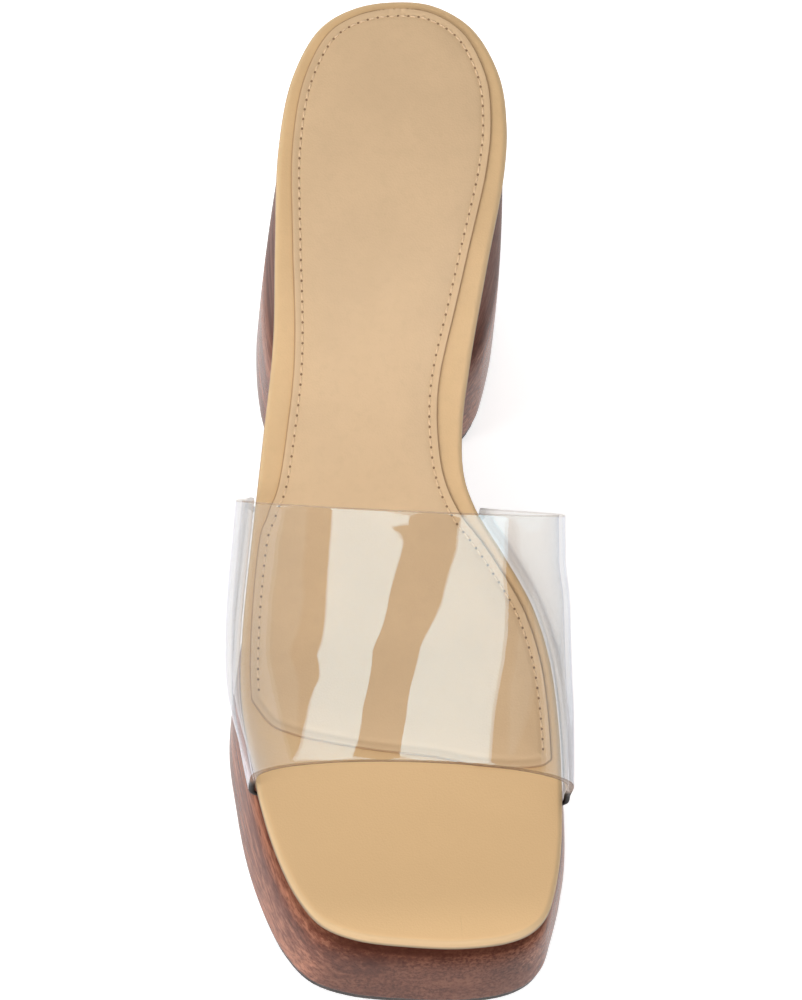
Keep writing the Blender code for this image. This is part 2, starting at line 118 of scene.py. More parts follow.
# Outer edge of the footbed on the little toe side.
# Columns: along, a share of FOOTBED_LENGTH; across, a share of BALL_WIDTH.
LATERAL_EDGE = [
    (0.0065, -0.112),
    (0.029, -0.222),
    (0.086, -0.320),
    (0.168, -0.378),
    (0.274, -0.404),
    (0.370, -0.422),
    (0.458, -0.463),
    (0.546, -0.506),
    (0.640, -0.548),
    (0.700, -0.560),
    (0.760, -0.543),
    (0.841, -0.503),
    (0.898, -0.457),
    (0.935, -0.412),
    (0.965, -0.350),
    (0.984, -0.245),
    (0.9955, -0.070),
]

# Outer edge of the footbed on the big toe side, in the same columns.
MEDIAL_EDGE = [
    (0.0065, 0.140),
    (0.036, 0.257),
    (0.094, 0.334),
    (0.150, 0.347),
    (0.204, 0.330),
    (0.306, 0.258),
    (0.395, 0.197),
    (0.457, 0.166),
    (0.500, 0.168),
    (0.532, 0.203),
    (0.578, 0.291),
    (0.625, 0.371),
    (0.673, 0.416),
    (0.723, 0.435),
    (0.790, 0.439),
    (0.883, 0.421),
    (0.940, 0.387),
    (0.968, 0.354),
    (0.985, 0.305),
    (0.9955, 0.230),
]
SEAT_POINT = (0.0, 0.014)
TOE_POINT = (1.0, 0.085)

# Top of the footbed from the side. Columns: along; rise, a share of the drop
# from HEEL_HEIGHT to FOREFOOT_HEIGHT.
TOP_PROFILE = [
    (0.000, 1.000),
    (0.040, 0.995),
    (0.090, 0.980),
    (0.155, 0.950),
    (0.221, 0.906),
    (0.287, 0.842),
    (0.352, 0.750),
    (0.418, 0.628),
    (0.484, 0.493),
    (0.549, 0.358),
    (0.615, 0.236),
    (0.681, 0.136),
    (0.746, 0.062),
    (0.812, 0.018),
    (0.877, 0.000),
    (0.940, 0.000),
    (1.000, 0.000),
]

# Underside of the wood between heel and platform.
# Columns: along; opening, 0 on the floor line and 1 under the full arch.
ARCH_PROFILE = [
    (0.313, 0.00),
    (0.319, 0.14),
    (0.329, 0.43),
    (0.341, 0.69),
    (0.356, 0.88),
    (0.375, 0.98),
    (0.400, 1.00),
    (0.435, 0.99),
    (0.475, 0.89),
    (0.515, 0.68),
    (0.550, 0.38),
    (0.576, 0.13),
    (0.592, 0.00),
]
HEEL_BREAST = ARCH_PROFILE[0][0]
PLATFORM_BACK = ARCH_PROFILE[-1][0]

# Widening of the wood towards the floor, as shares of the local flare.
# Columns: along; lateral; medial.
FLARE_PROFILE = [
    (0.000, 0.30, 0.30),
    (0.080, 0.55, 0.75),
    (0.160, 0.70, 1.00),
    (0.220, 0.60, 0.95),
    (0.265, 0.35, 0.85),
    (0.295, -0.10, 0.50),
    (0.313, -0.55, 0.00),
    (0.350, -1.50, -1.20),
    (0.420, -1.90, -1.50),
    (0.500, -0.90, -0.70),
    (0.570, 0.10, 0.20),
    (0.645, 0.62, 0.80),
    (0.740, 0.80, 1.10),
    (0.825, 1.05, 1.15),
    (0.890, 1.10, 0.85),
    (0.945, 1.12, 0.60),
    (1.000, 0.90, 0.90),
]

# Rim between footbed edge and sock, as shares of SOCK_MARGIN.
# Columns: along; lateral; medial.
SOCK_RIM = [
    (0.000, 0.55, 0.55),
    (0.150, 0.65, 0.80),
    (0.250, 0.80, 0.95),
    (0.350, 1.00, 1.15),
    (0.420, 1.15, 1.38),
    (0.480, 1.10, 1.15),
    (0.530, 0.65, 0.85),
    (0.570, 0.35, 0.60),
    (0.680, 0.45, 0.50),
    (0.850, 0.55, 0.50),
]

# Front edge of the sock, under the band. Columns: across, a share of the
# sock's own width from the little toe side; along.
SOCK_FRONT = [
    (0.00, 0.712),
    (0.05, 0.738),
    (0.12, 0.750),
    (0.35, 0.768),
    (0.60, 0.781),
    (0.75, 0.792),
    (0.88, 0.796),
    (0.97, 0.794),
    (1.00, 0.788),
]

# Where the band's back and front edges meet the footbed's edge, along it.
BAND_PLACES = {LATERAL: (0.515, 0.803), MEDIAL: (0.532, 0.829)}

# How the band's section changes from its back edge to its front edge.
# Columns: place, 0 at the back and 1 at the front; lateral bulge and medial
# bulge as shares of BAND_BULGE; waist, the height of the widest point as a
# share of the band's height; squareness, the power of its arch.
BAND_SECTIONS = [
    (0.00, 1.00, 0.98, 0.46, 2.25),
    (0.25, 0.85, 0.39, 0.42, 2.20),
    (0.50, 0.65, 0.09, 0.36, 2.15),
    (0.75, 0.40, 0.02, 0.30, 2.10),
    (1.00, 0.00, 0.00, 0.24, 2.05),
]
WALL_LOW_HANDLE = 0.35
WALL_HIGH_HANDLE = 0.60
FOOTBED_CURL_START = 0.88
SPRING_START = 0.80

# Soft creases in the leather where the foot bends. Columns: along; across, a
# share of BALL_WIDTH from the middle; turn in degrees from straight across;
# half length and half width in metres; depth in metres, negative for a ridge.
CREASES = [
    (0.600, -0.10, 6.0, 0.024, 0.0030, 0.00014),
    (0.628, 0.02, -4.0, 0.028, 0.0026, -0.00010),
    (0.655, 0.06, 3.0, 0.026, 0.0034, 0.00015),
    (0.690, -0.22, 12.0, 0.015, 0.0026, 0.00010),
    (0.470, -0.14, -8.0, 0.013, 0.0040, 0.00012),
    (0.850, 0.25, -14.0, 0.016, 0.0038, 0.00012),
    (0.300, -0.28, 74.0, 0.022, 0.0050, 0.00016),
]

# Camera. The target is the point that the photograph's centre shows. Azimuth 0
# is in front of the toe, and 90 on the big toe side.
CAMERA_TARGET = (-0.0020, -0.07925, 0.0600)
CAMERA_AZIMUTH = -10.0
CAMERA_ELEVATION = 64.0
CAMERA_ROLL = 6.8
CAMERA_DISTANCE = 1.9
FOCAL_PIXELS = 7505
LONG_SIDE_PIXELS = 1000
SENSOR_WIDTH = 36.0

# Sock details
SOCK_SEAT = 0.00006          # under the sock, over the footbed
SEAM_END = 0.985             # share of the sock's sides that is sewn

# Studio. A panel of light is a name, its distance from the band towards the
# toe, its radiance, whether it lights the shoe or only shows in the film, and
# the sides of its outline, given across and up from LIGHT_TARGET. A side
# of two points is straight, and one of more is a smooth curve through them.
LIGHT_TARGET = Vector((0.0, -0.12, 0.09))
PANELS = [
    ("softbox_left", 2.4, 5.0, True, [
        [(0.20, 0.30), (0.08, 0.86)],
        [(-0.14, 0.895), (0.04, 0.94)],
        [(-0.05, 1.08), (-0.25, 1.45), (-0.65, 1.90), (-1.10, 2.40), (-1.75, 2.95),
         (-3.30, 3.55), (-6.00, 4.60)],
        [(-9.50, 4.60), (-9.50, -0.05)],
        [(-7.20, -0.05), (-5.10, 1.00), (-3.50, 1.40), (-2.60, 1.45), (-2.05, 1.50),
         (-1.70, 1.30), (-1.50, 1.00), (-1.35, 0.30)]]),
    ("softbox_right", 2.4, 5.0, False, [
        [(2.50, -0.05), (2.65, 0.35), (2.80, 0.80), (3.05, 1.20), (3.10, 1.70), (3.40, 2.60),
         (4.15, 3.90), (5.60, 6.00), (7.00, 8.00)],
        [(7.00, 10.5), (-2.60, 10.5)],
        [(-1.30, 6.00), (-0.50, 4.20), (-0.05, 3.20), (0.15, 2.30), (0.40, 1.65),
         (0.70, 1.20), (0.90, 0.80), (1.05, -0.05)]]),
    ("wall_left", 2.6, 0.55, True, [
        [(-2.75, -0.05), (-2.75, 1.10)],
        [(-3.30, 1.20), (-9.50, 0.90)],
        [(-9.50, -0.05), (-3.00, -0.05)]]),
    ("wall_right", 2.6, 0.55, True, [
        [(4.30, -0.05), (9.50, -0.05)],
        [(9.50, 5.40), (8.30, 5.40)],
        [(6.00, 3.50), (4.50, 2.10), (4.30, 1.10)]]),
]
PANEL_STEPS = 8
SKY_BRIGHT = 1.40            # overhead and behind the heel
SKY_DIM = 0.20               # in front of the toe
SKY_TURN = (0.8, 0.6)        # shares of up and of back that make the sky bright
SKY_EDGE = (0.45, 0.72)      # where that sum turns from dim to bright
FLOOR_HALF = 6.0
FLOOR_DROP = 0.0001          # the floor lies this much under the soles
FLOOR_GLOW = 0.60

# Where a finish, a painted light or a painted shade changes on the shoe. Each is a
# place from and a place to, in metres, and the leather's two rows of painted light
# have how pale it gets towards the toe as well.
PAINTED_TOE_LIGHT = [(-0.155, -0.115, 1.09), (-0.192, -0.178, 1.27)]    # painted light: the leather paler towards the toe, along Y
EDGE_PAINTED_SHADE = (0.0007, 0.0016)          # painted shade on the footbed's sides, down from its top
TOE_PAINTED_SHADE = (0.0001, 0.0010)           # and painted shade on its toe edge
UNDER_PAINTED_SHADOW = (0.0022, 0.0033)         # painted shadow on the footbed's lower edge, down from its top
WOOD_PAINTED_SHADOW = (0.0032, 0.0052)       # end of the footbed's painted shadow on the wood, down from the wood's top
WOOD_TOE_PAINTED_SHADOW = (-0.190, -0.172)           # deeper painted shadow at the toe, along Y
WOOD_PAINTED_SHADE = (0.035, 0.060)          # painted shade, the wood darker higher up towards the footbed, up from the floor
WOOD_GLOSS = (0.002, 0.014)           # glossier lacquer, down from the wood's top
WOOD_GLOSS_END = (0.025, 0.055)       # and its end, up from the floor
FOOT_SHADE = (0.008, 0.006, 0.005)    # painted shade: colour of the band's cut rims at their feet

# Fineness
CURVE_STEPS = 16
OUTLINE_CURVE_STEPS = 40
WOOD_STATIONS = 200
FOOTBED_STATIONS = 200
RUBBER_STATIONS = 120
SOCK_ROWS = 260
BAND_ROWS = 72
WALL_STEPS = 18
ROUND_STEPS = 5
BEND_STEPS = 7
WALL_BEND_STEPS = 12
ARCH_STEPS = 28
RIM_STEPS = 4
POCKET_ROWS = 15
RIM_COLUMNS = (0.5, 1.2, 2.0, 3.0, 4.5, 6.5)    # in from the round edge, in mm
FOOTBED_COLUMNS = 25         # over the rest of the footbed's top
SEAM_POINTS = 900
BORDER_STEPS = 3000          # along each side of the footbed
SOCK_BORDER_POINTS = (1600, 700)    # along each side of the sock and its front
MERGE = 2e-6
SHARP_ANGLE = 38.0
MM = 0.001


# Form of the shoe

def smooth_curve(points, steps=CURVE_STEPS):
    """Points on a centripetal Catmull-Rom curve through the given points."""
    points = np.array(points, float)
    knots = np.vstack([2 * points[0] - points[1], points, 2 * points[-1] - points[-2]])
    t = (np.arange(steps) / steps)[:, None]
    pieces = []
    for p0, p1, p2, p3 in zip(knots, knots[1:], knots[2:], knots[3:]):
        d01, d12, d23 = (math.sqrt(math.dist(a, b)) for a, b in ((p0, p1), (p1, p2), (p2, p3)))
        m1 = p2 - p1 + ((p1 - p0) / d01 - (p2 - p0) / (d01 + d12)) * d12
        m2 = p2 - p1 + ((p3 - p2) / d23 - (p3 - p1) / (d12 + d23)) * d12
        ends = p1 * (2 * t ** 3 - 3 * t ** 2 + 1) + p2 * (3 * t ** 2 - 2 * t ** 3)
        pieces.append(ends + m1 * (t ** 3 - 2 * t ** 2 + t) + m2 * (t ** 3 - t ** 2))
    return np.vstack(pieces + [points[-1:]])


def reader(rows, column=1):
    """A smooth function from a table's first column to another column."""
    curve = smooth_curve([(row[0], row[column]) for row in rows])
    keys = np.maximum.accumulate(curve[:, 0])
    return lambda place: np.interp(place, keys, curve[:, 1])


def footprint():
    """Each side's outline: along, across and the outward direction in plan."""
    def real(row):
        return (row[1] * BALL_WIDTH, row[0] * FOOTBED_LENGTH)

    sides = {LATERAL: LATERAL_EDGE, MEDIAL: MEDIAL_EDGE}
    outline = {}
    for side, rows in sides.items():
        far = sides[-side]
        knots = [far[0], SEAT_POINT, *rows, TOE_POINT, far[-1]]
        curve = smooth_curve([real(row) for row in knots], OUTLINE_CURVE_STEPS)
        run = np.gradient(curve, axis=0)
        outward = np.stack([run[:, 1], run[:, 0]], axis=1) * side
        outward /= np.linalg.norm(outward, axis=1, keepdims=True)
        inside = slice(OUTLINE_CURVE_STEPS, len(curve) - OUTLINE_CURVE_STEPS)
        along = np.maximum.accumulate(curve[inside, 1]) / FOOTBED_LENGTH
        outline[side] = (along, curve[inside, 0], outward[inside])
    return outline


EDGE = footprint()
top_rise = reader(TOP_PROFILE)
arch_opening = reader(ARCH_PROFILE)
flare_share = {LATERAL: reader(FLARE_PROFILE, 1), MEDIAL: reader(FLARE_PROFILE, 2)}
rim_share = {LATERAL: reader(SOCK_RIM, 1), MEDIAL: reader(SOCK_RIM, 2)}
sock_front = reader(SOCK_FRONT)
band_bulge = {LATERAL: reader(BAND_SECTIONS, 1), MEDIAL: reader(BAND_SECTIONS, 2)}
band_waist = reader(BAND_SECTIONS, 3)
band_square = reader(BAND_SECTIONS, 4)


def between(first, last, share):
    """The value at a share of the way from first to last."""
    return first + (last - first) * share


def eased(steps):
    """Shares from 0 to 1 in so many steps, closer together at both ends."""
    return 0.5 - 0.5 * np.cos(np.pi * np.arange(steps + 1) / steps)


def soft_step(low, high, value):
    """0 below low, 1 above high, smooth between."""
    share = np.clip((value - low) / (high - low), 0.0, 1.0)
    return share * share * (3 - 2 * share)


def along_of(y):
    """Place along the footbed, 0 at the seat and 1 at the toe, of a point's y."""
    return (SEAT_BACK - y) / FOOTBED_LENGTH


def curl(along, start, lift):
    """Upward curl towards the toe from a starting place."""
    return np.maximum(0.0, (along - start) / (1 - start)) ** 2 * lift


def top_height(along):
    """Height of the footbed's top."""
    drop = HEEL_HEIGHT - FOREFOOT_HEIGHT
    rise = FOREFOOT_HEIGHT + drop * top_rise(along)
    return rise + curl(along, FOOTBED_CURL_START, FOOTBED_TOE_LIFT)


def slope_stretch(along):
    """Upright length that crosses one unit of thickness on the slope."""
    step = 0.01
    rise = top_height(along + step) - top_height(along - step)
    run = 2 * step * FOOTBED_LENGTH
    return np.hypot(rise, run) / run


def below_top(along, depth):
    """Height at a depth under the footbed's top, measured square to it."""
    return top_height(along) - depth * slope_stretch(along)


def wood_top(along):
    """Height of the wood's top, just under the footbed."""
    return below_top(along, FOOTBED_THICKNESS + GAP)


def outsole_bottom(along):
    """Height of the outsole's underside over the floor."""
    return curl(along, SPRING_START, TOE_SPRING)


def wood_bottom(along):
    """Underside of the wood: heel seat, arch, platform and toe spring."""
    share = np.clip((along - HEEL_BREAST) / (PLATFORM_BACK - HEEL_BREAST), 0.0, 1.0)
    ground = between(TOP_PIECE_THICKNESS, OUTSOLE_THICKNESS, share) + GAP
    under_waist = wood_top(along) - WAIST_THICKNESS
    arched = ground + np.maximum(0.0, arch_opening(along)) * (under_waist - ground)
    return arched + outsole_bottom(along)


def wood_height(along, share):
    """Height at a share of the way up the wooden wall."""
    return between(wood_bottom(along), wood_top(along), share)


def wall_offset(side, along, height):
    """How far the wooden wall stands outside the footbed's edge."""
    forward = np.clip((along - HEEL_BREAST) / (PLATFORM_BACK - HEEL_BREAST), 0.0, 1.0)
    flare = between(HEEL_FLARE, PLATFORM_FLARE, forward)
    drop = np.clip(height / wood_top(along), 0.0, 1.0)
    return flare_share[side](along) * flare * (1 - drop ** WALL_SWELL) - WOOD_OVERHANG


def edge_direction(side, along):
    """Outward direction (x, y) of the outline in plan."""
    places, _, directions = EDGE[side]
    away = np.stack([np.interp(along, places, directions[:, k]) for k in (0, 1)], axis=-1)
    return away / np.linalg.norm(away, axis=-1, keepdims=True)


def edge_point(side, along, outward=0.0):
    """Points (x, y) of the outline, moved outward square to it."""
    places, across, _ = EDGE[side]
    x = np.interp(along, places, across)
    y = SEAT_BACK - along * FOOTBED_LENGTH
    moved = edge_direction(side, along) * np.asarray(outward)[..., None]
    return np.stack([x, y], axis=-1) + moved


def at_height(plan, height):
    """Points (x, y) raised to a height that follows their place along."""
    return np.column_stack([plan, height(along_of(plan[:, 1]))])


def stations(first, last, count, extra=()):
    """Places along the footbed, closer together at its two round ends."""
    places = np.concatenate([eased(count), extra])
    inner = np.unique(places[(places > first) & (places < last)])
    closest = 0.02 / count
    kept = [first]
    for place in inner:
        if place - kept[-1] > closest * math.sqrt(place * (1 - place)):
            kept.append(place)
    return np.array(kept + [last])


def quarter_round(radius):
    """(inset, height) from a rounded edge's foot to its full width."""
    turns = np.radians(90) * np.arange(ROUND_STEPS + 1) / ROUND_STEPS
    return [(radius * (1 - math.sin(turn)), radius * (1 - math.cos(turn))) for turn in turns]


# Making meshes

def skin(name, grid, closed_start=False, closed_end=False, rim_rows=0):
    """A mesh through rows of points, each row a loop round the piece.

    The first rim_rows rows and the faces that close the start take the second
    material. The last rows and the faces that close the end take the third.
    """
    rows, count = grid.shape[:2]
    start = np.arange(rows - 1)[:, None] * count
    here = np.arange(count)[None, :]
    after = (here + 1) % count
    corners = (start + here, start + after, start + count + after, start + count + here)
    faces = np.stack(corners, axis=-1).reshape(-1, 4).tolist()
    slots = np.zeros((rows - 1, count), int)
    if rim_rows:
        slots[:rim_rows] = 1
        slots[-rim_rows:] = 2
    slots = slots.reshape(-1).tolist()
    ends = ((0, closed_start, 1), ((rows - 1) * count, closed_end, 2))
    for base, closed, slot in ends:
        for i in range(count // 2 - 1 if closed else 0):
            j = count - 1 - i
            faces.append([base + i, base + i + 1, base + j - 1, base + j])
            slots.append(slot if rim_rows else 0)
    mesh = bpy.data.meshes.new(name)
    mesh.from_pydata(grid.reshape(-1, 3).tolist(), [], faces)
    mesh.polygons.foreach_set("material_index", slots)
    bm = bmesh.new()
    bm.from_mesh(mesh)
    bmesh.ops.remove_doubles(bm, verts=bm.verts, dist=MERGE)
    bmesh.ops.recalc_face_normals(bm, faces=bm.faces)
    bm.to_mesh(mesh)
    bm.free()
    shade_smoothly(mesh)
    return mesh


def shade_smoothly(mesh):
    """Smooth shading apart from the sharp edges."""
    mesh.shade_smooth()
    mesh.set_sharp_from_angle(angle=math.radians(SHARP_ANGLE))


def put(name, data):
    """A new object in the scene."""
    made = bpy.data.objects.new(name, data)
    bpy.context.scene.collection.objects.link(made)
    return made


def vertices(mesh):
    """Places of a mesh's vertices as rows."""
    places = np.empty(len(mesh.vertices) * 3)
    mesh.vertices.foreach_get("co", places)
    return places.reshape(-1, 3)


def mark(mesh, name, values):
    """Keeps one number for each vertex, for the materials."""
    kept = mesh.attributes.new(name, "FLOAT", "POINT")
    kept.data.foreach_set("value", np.asarray(values, np.float32))


def nearest(plan, border):
    """How far points (x, y) lie from the closest point of a border."""
    tree = kdtree.KDTree(len(border))
    for i, point in enumerate(border):
        tree.insert((point[0], point[1], 0.0), i)
    tree.balance()
    return np.array([tree.find((x, y, 0.0))[2] for x, y in plan])


def add_piece(name, mesh, materials, node=None):
    """A finished piece that rides on the shoe and may stand for a node."""
    mesh.name = name
    for material in materials:
        mesh.materials.append(material)
    piece = put(name, mesh)
    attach(piece, BODY)
    if node:
        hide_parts(node)
    return piece


def bake(maker):
    """A plain mesh of an object as its modifiers leave it."""
    graph = bpy.context.evaluated_depsgraph_get()
    mesh = bpy.data.meshes.new_from_object(maker.evaluated_get(graph))
    bpy.data.objects.remove(maker, do_unlink=True)
    return mesh


def creased(plan, strength):
    """Depth of the leather's soft creases at points (x, y)."""
    depth = np.zeros(plan.shape[:-1])
    for along, across, turn, length, width, deep in CREASES:
        away = plan - (across * BALL_WIDTH, SEAT_BACK - along * FOOTBED_LENGTH)
        angle = math.radians(turn)
        u = away @ np.array((math.cos(angle), math.sin(angle)))
        v = away @ np.array((-math.sin(angle), math.cos(angle)))
        depth += strength * deep * np.exp(-(u / length) ** 2 - (v / width) ** 2)
    return depth


def cross_grid(along, levels, columns=0):
    """Rows of points round the shoe at places along it.

    levels(side) gives, from the side's first column to its last, how far it
    lies outward and a function for its height. A number of columns are added
    over the footbed's top, between the two sides.
    """
    left, right = ([at_height(edge_point(side, along, outward), height)
                    for outward, height in levels(side)] for side in (LATERAL, MEDIAL))
    inner = [at_height(between(left[-1], right[-1], share)[:, :2], top_height)
             for share in np.linspace(0, 1, columns + 2)[1:-1]]
    return np.stack(left + inner + right[::-1], axis=1)


# Wooden sole

def wood_grid():
    """Rows round the wood, its lower and upper edges slightly round."""
    along = stations(0.0, 1.0, WOOD_STATIONS, [row[0] for row in ARCH_PROFILE])
    depth = wood_top(along) - wood_bottom(along)
    broken = WOOD_ROUND / depth
    rows = [(rise / depth, inset) for inset, rise in quarter_round(WOOD_ROUND)]
    for share in np.linspace(0.0, 1.0, WALL_STEPS + 1)[1:-1]:
        rows.append((between(broken, 1 - broken, share), 0.0))
    rows += [(1 - rise / depth, inset) for inset, rise in quarter_round(WOOD_ROUND)[::-1]]

    def levels(side):
        for share, inset in rows:
            outward = wall_offset(side, along, wood_height(along, share)) - inset
            yield outward, lambda a, share=share: wood_height(a, share)

    return cross_grid(along, levels)


def pocket_grid(side):
    """The space cut in the wood for one end of the band."""
    first, last = BAND_PLACES[side]
    past = POCKET_END / ((last - first) * FOOTBED_LENGTH)
    floor = FOOTBED_THICKNESS + BAND_CLEARANCE + BAND_WALL + GAP
    rows = []
    for place in [-past, *np.linspace(0, 1, POCKET_ROWS), 1 + past]:
        edge = band_edge(side, place)[0]
        inner = edge - side * (BAND_TUCK + POCKET_END)
        outer = edge + side * POCKET_REACH
        corners = [(inner, -floor), (outer, -floor), (outer, 0.0), (inner, 0.0)]
        rows.append(band_points(place, np.array(corners)))
    return np.stack(rows)


def wood_mesh():
    """Heel, waist and platform, with the two pockets for the band's ends."""
    maker = put("wood_maker", skin("wood", wood_grid()))
    cutters = []
    for side in (LATERAL, MEDIAL):
        mesh = skin("pocket", pocket_grid(side), closed_start=True, closed_end=True)
        cutter = put("pocket_cutter", mesh)
        cut = maker.modifiers.new("pocket", "BOOLEAN")
        cut.operation = "DIFFERENCE"
        cut.solver = "EXACT"
        cut.object = cutter
        cutters.append(cutter)
    mesh = bake(maker)
    for cutter in cutters:
        bpy.data.objects.remove(cutter, do_unlink=True)
    shade_smoothly(mesh)
    places = vertices(mesh)
    facing = np.array([normal.vector.y for normal in mesh.vertex_normals])
    mark(mesh, "end_grain", soft_step(0.70, 0.98, np.abs(facing)))
    mark(mesh, "below_edge", wood_top(along_of(places[:, 1])) - places[:, 2])
    return mesh


def rubber_mesh(first, last, bottom, thickness):
    """A rubber sheet on the floor side of the wood, its edge slightly round."""
    along = stations(first, last, RUBBER_STATIONS)
    rows = quarter_round(RUBBER_ROUND)
    rows += [(inset, thickness - rise) for inset, rise in rows[::-1]]

    def levels(side):
        for inset, rise in rows:
            outward = wall_offset(side, along, wood_bottom(along)) - RUBBER_INSET - inset
            yield outward, lambda a, rise=rise: bottom(a) + rise

    grid = cross_grid(along, levels)
    return skin("rubber", grid, closed_start=first > 0.0, closed_end=last < 1.0)


# Footbed

def footbed_mesh(sizes):
    """A board wrapped in leather, its edge round and its top softly creased."""
    along = stations(0.0, 1.0, FOOTBED_STATIONS)
    lower = quarter_round(FOOTBED_ROUND)
    rows = [(inset, FOOTBED_THICKNESS - rise) for inset, rise in lower]
    rows += lower[::-1]
    rows += [(FOOTBED_ROUND + reach * MM, 0.0) for reach in RIM_COLUMNS]

    def levels(side):
        for inset, depth in rows:
            yield np.full(len(along), -inset), lambda a, depth=depth: below_top(a, depth)

    grid = cross_grid(along, levels, FOOTBED_COLUMNS)
    first = 2 * len(lower) - 1
    upper = grid[:, first:grid.shape[1] - first]
    upper[..., 2] -= creased(upper[..., :2], sizes.crease_strength)
    mesh = skin("footbed", grid)
    border = np.vstack([edge_point(side, eased(BORDER_STEPS)) for side in (LATERAL, MEDIAL)])
    places = vertices(mesh)
    mark(mesh, "inside", nearest(places[:, :2], border))
    depth = top_height(along_of(places[:, 1])) - places[:, 2]
    normals = np.array([normal.vector for normal in mesh.vertex_normals])
    # painted shade on the footbed's round edge: its sides, and less of it on its toe
    side_painted_shade = soft_step(*EDGE_PAINTED_SHADE, depth) * np.abs(normals[:, 0])
    forward = soft_step(*TOE_PAINTED_SHADE, depth) * np.maximum(0.0, -normals[:, 1])
    mark(mesh, "turned", np.maximum(side_painted_shade, 0.35 * forward))
    # painted shadow on the lower part of the footbed's edge
    mark(mesh, "under", soft_step(*UNDER_PAINTED_SHADOW, depth))
    return mesh


# Sock

def sock_side(side, along, inset=0.0):
    """Points (x, y) of one side of the sock, moved in by an inset."""
    margin = rim_share[side](along) * SOCK_MARGIN
    return edge_point(side, along, -margin - inset)


def sock_plan(place, across):
    """Points (x, y) of the sock, from its back, 0, to its front edge, 1."""
    along = place * sock_front(across)
    ends = [sock_side(side, along) for side in (LATERAL, MEDIAL)]
    return between(ends[0], ends[1], across[..., None])


def sock_inside(plan):
    """How far points (x, y) lie inside the sock's cut edge."""
    place, across = (np.linspace(0.0, 1.0, count) for count in SOCK_BORDER_POINTS)
    border = [sock_plan(place, np.full(len(place), end)) for end in (0.0, 1.0)]
    border.append(sock_plan(np.ones(len(across)), across))
    return nearest(plan, np.vstack(border))


def sock_heights(plan, inside, sizes):
    """Height of the sock's upper face at points (x, y)."""
    edge = sizes.sock_edge_round
    turn = np.clip(inside / edge, 0.0, 1.0)
    rise = sizes.sock_edge_height - edge + edge * np.sqrt(1 - (1 - turn) ** 2)
    pad = soft_step(sizes.stitch_inset, sizes.stitch_inset + sizes.pad_slope, inside)
    rise += (SOCK_TOP - sizes.sock_edge_height) * pad
    channel = np.exp(-((inside - sizes.stitch_inset) / sizes.channel_width) ** 2)
    rise -= sizes.channel_depth * channel + creased(plan, sizes.crease_strength)
    along = along_of(plan[:, 1])
    return top_height(along) + rise * slope_stretch(along)


def sock_mesh(sizes):
    """The padded sock: round cut edge, stitch channel and a soft pad."""
    edge = np.array([0.0, 0.0008, 0.002, 0.004, *np.linspace(0.007, 0.051, 12), 0.056, 0.062, 0.070])
    shares = np.concatenate([edge, np.linspace(0.085, 0.915, 46), 1 - edge[::-1]])
    place, across = np.meshgrid(eased(SOCK_ROWS), shares, indexing="ij")
    plan = sock_plan(place, across)
    flat = plan.reshape(-1, 2)
    upper = np.column_stack([flat, sock_heights(flat, sock_inside(flat), sizes)])
    under = at_height(flat, top_height)
    under[:, 2] += SOCK_SEAT - creased(flat, sizes.crease_strength)
    upper = upper.reshape(*place.shape, 3)
    under = under.reshape(*place.shape, 3)
    grid = np.concatenate([upper, under[:, ::-1]], axis=1)
    mesh = skin("sock", grid, closed_end=True)
    mark(mesh, "inside", sock_inside(vertices(mesh)[:, :2]))
    for name in ("turned", "under"):
        mark(mesh, name, np.zeros(len(mesh.vertices)))
    return mesh


def seam_line(sizes):
    """Vertices and upward directions along the sock's stitching."""
    ends = {LATERAL: SOCK_FRONT[0][1] * SEAM_END, MEDIAL: SOCK_FRONT[-1][1] * SEAM_END}
    turns = np.linspace(0.0, 1.0, SEAM_POINTS)
    rows = [sock_side(side, ends[side] * turns ** 2, sizes.stitch_inset) for side in ends]
    plan = np.vstack([rows[0][::-1], rows[1][1:]])
    points = np.column_stack([plan, sock_heights(plan, sock_inside(plan), sizes)])
    step = 0.5 * MM
    y = plan[:, 1]
    slope = (top_height(along_of(y + step)) - top_height(along_of(y - step))) / (2 * step)
    up = np.column_stack([np.zeros(len(y)), -slope, np.ones(len(y))])
    return points, up / np.linalg.norm(up, axis=1, keepdims=True)


# Clear band

def band_edge(side, place):
    """Point (x, y) of the footbed's edge at one end of the band."""
    return edge_point(side, np.float64(between(*BAND_PLACES[side], place)))


def band_points(place, section):
    """Points in space of a section's points (x, height)."""
    left, right = (band_edge(side, place) for side in (LATERAL, MEDIAL))
    x, height = section.T
    y = between(left[1], right[1], (x - left[0]) / (right[0] - left[0]))
    along = along_of(y)
    lean = math.radians(between(BAND_BACK_LEAN, BAND_FRONT_LEAN, place))
    above = np.maximum(height, 0.0)
    under = np.minimum(height, 0.0) * slope_stretch(along)
    z = top_height(along) + above * math.cos(lean) + under
    return np.column_stack([x, y - above * math.sin(lean), z])


def band_end(side, place):
    """Middle line of one end, from under the footbed up to its top."""
    edge = band_edge(side, place)[0]
    along = between(*BAND_PLACES[side], place)
    stretch = 1 / abs(edge_direction(side, along)[0])
    radius = FOOTBED_ROUND + BAND_CLEARANCE + BAND_WALL / 2
    depth = FOOTBED_THICKNESS - FOOTBED_ROUND
    turn = np.radians(90) * np.arange(BEND_STEPS + 1) / BEND_STEPS
    bend = np.column_stack([
        edge + side * (radius * np.sin(turn) - FOOTBED_ROUND) * stretch,
        -depth - radius * np.cos(turn),
    ])
    foot = edge + side * (radius - FOOTBED_ROUND) * stretch
    return np.vstack([(edge - side * BAND_TUCK, -depth - radius), bend, (foot, 0.0)])


def bezier(start, out, back, end, t):
    """Numbers on a cubic Bezier curve with two handles."""
    near = start * (1 - t) ** 3 + 3 * out * t * (1 - t) ** 2
    return near + 3 * back * t ** 2 * (1 - t) + end * t ** 3


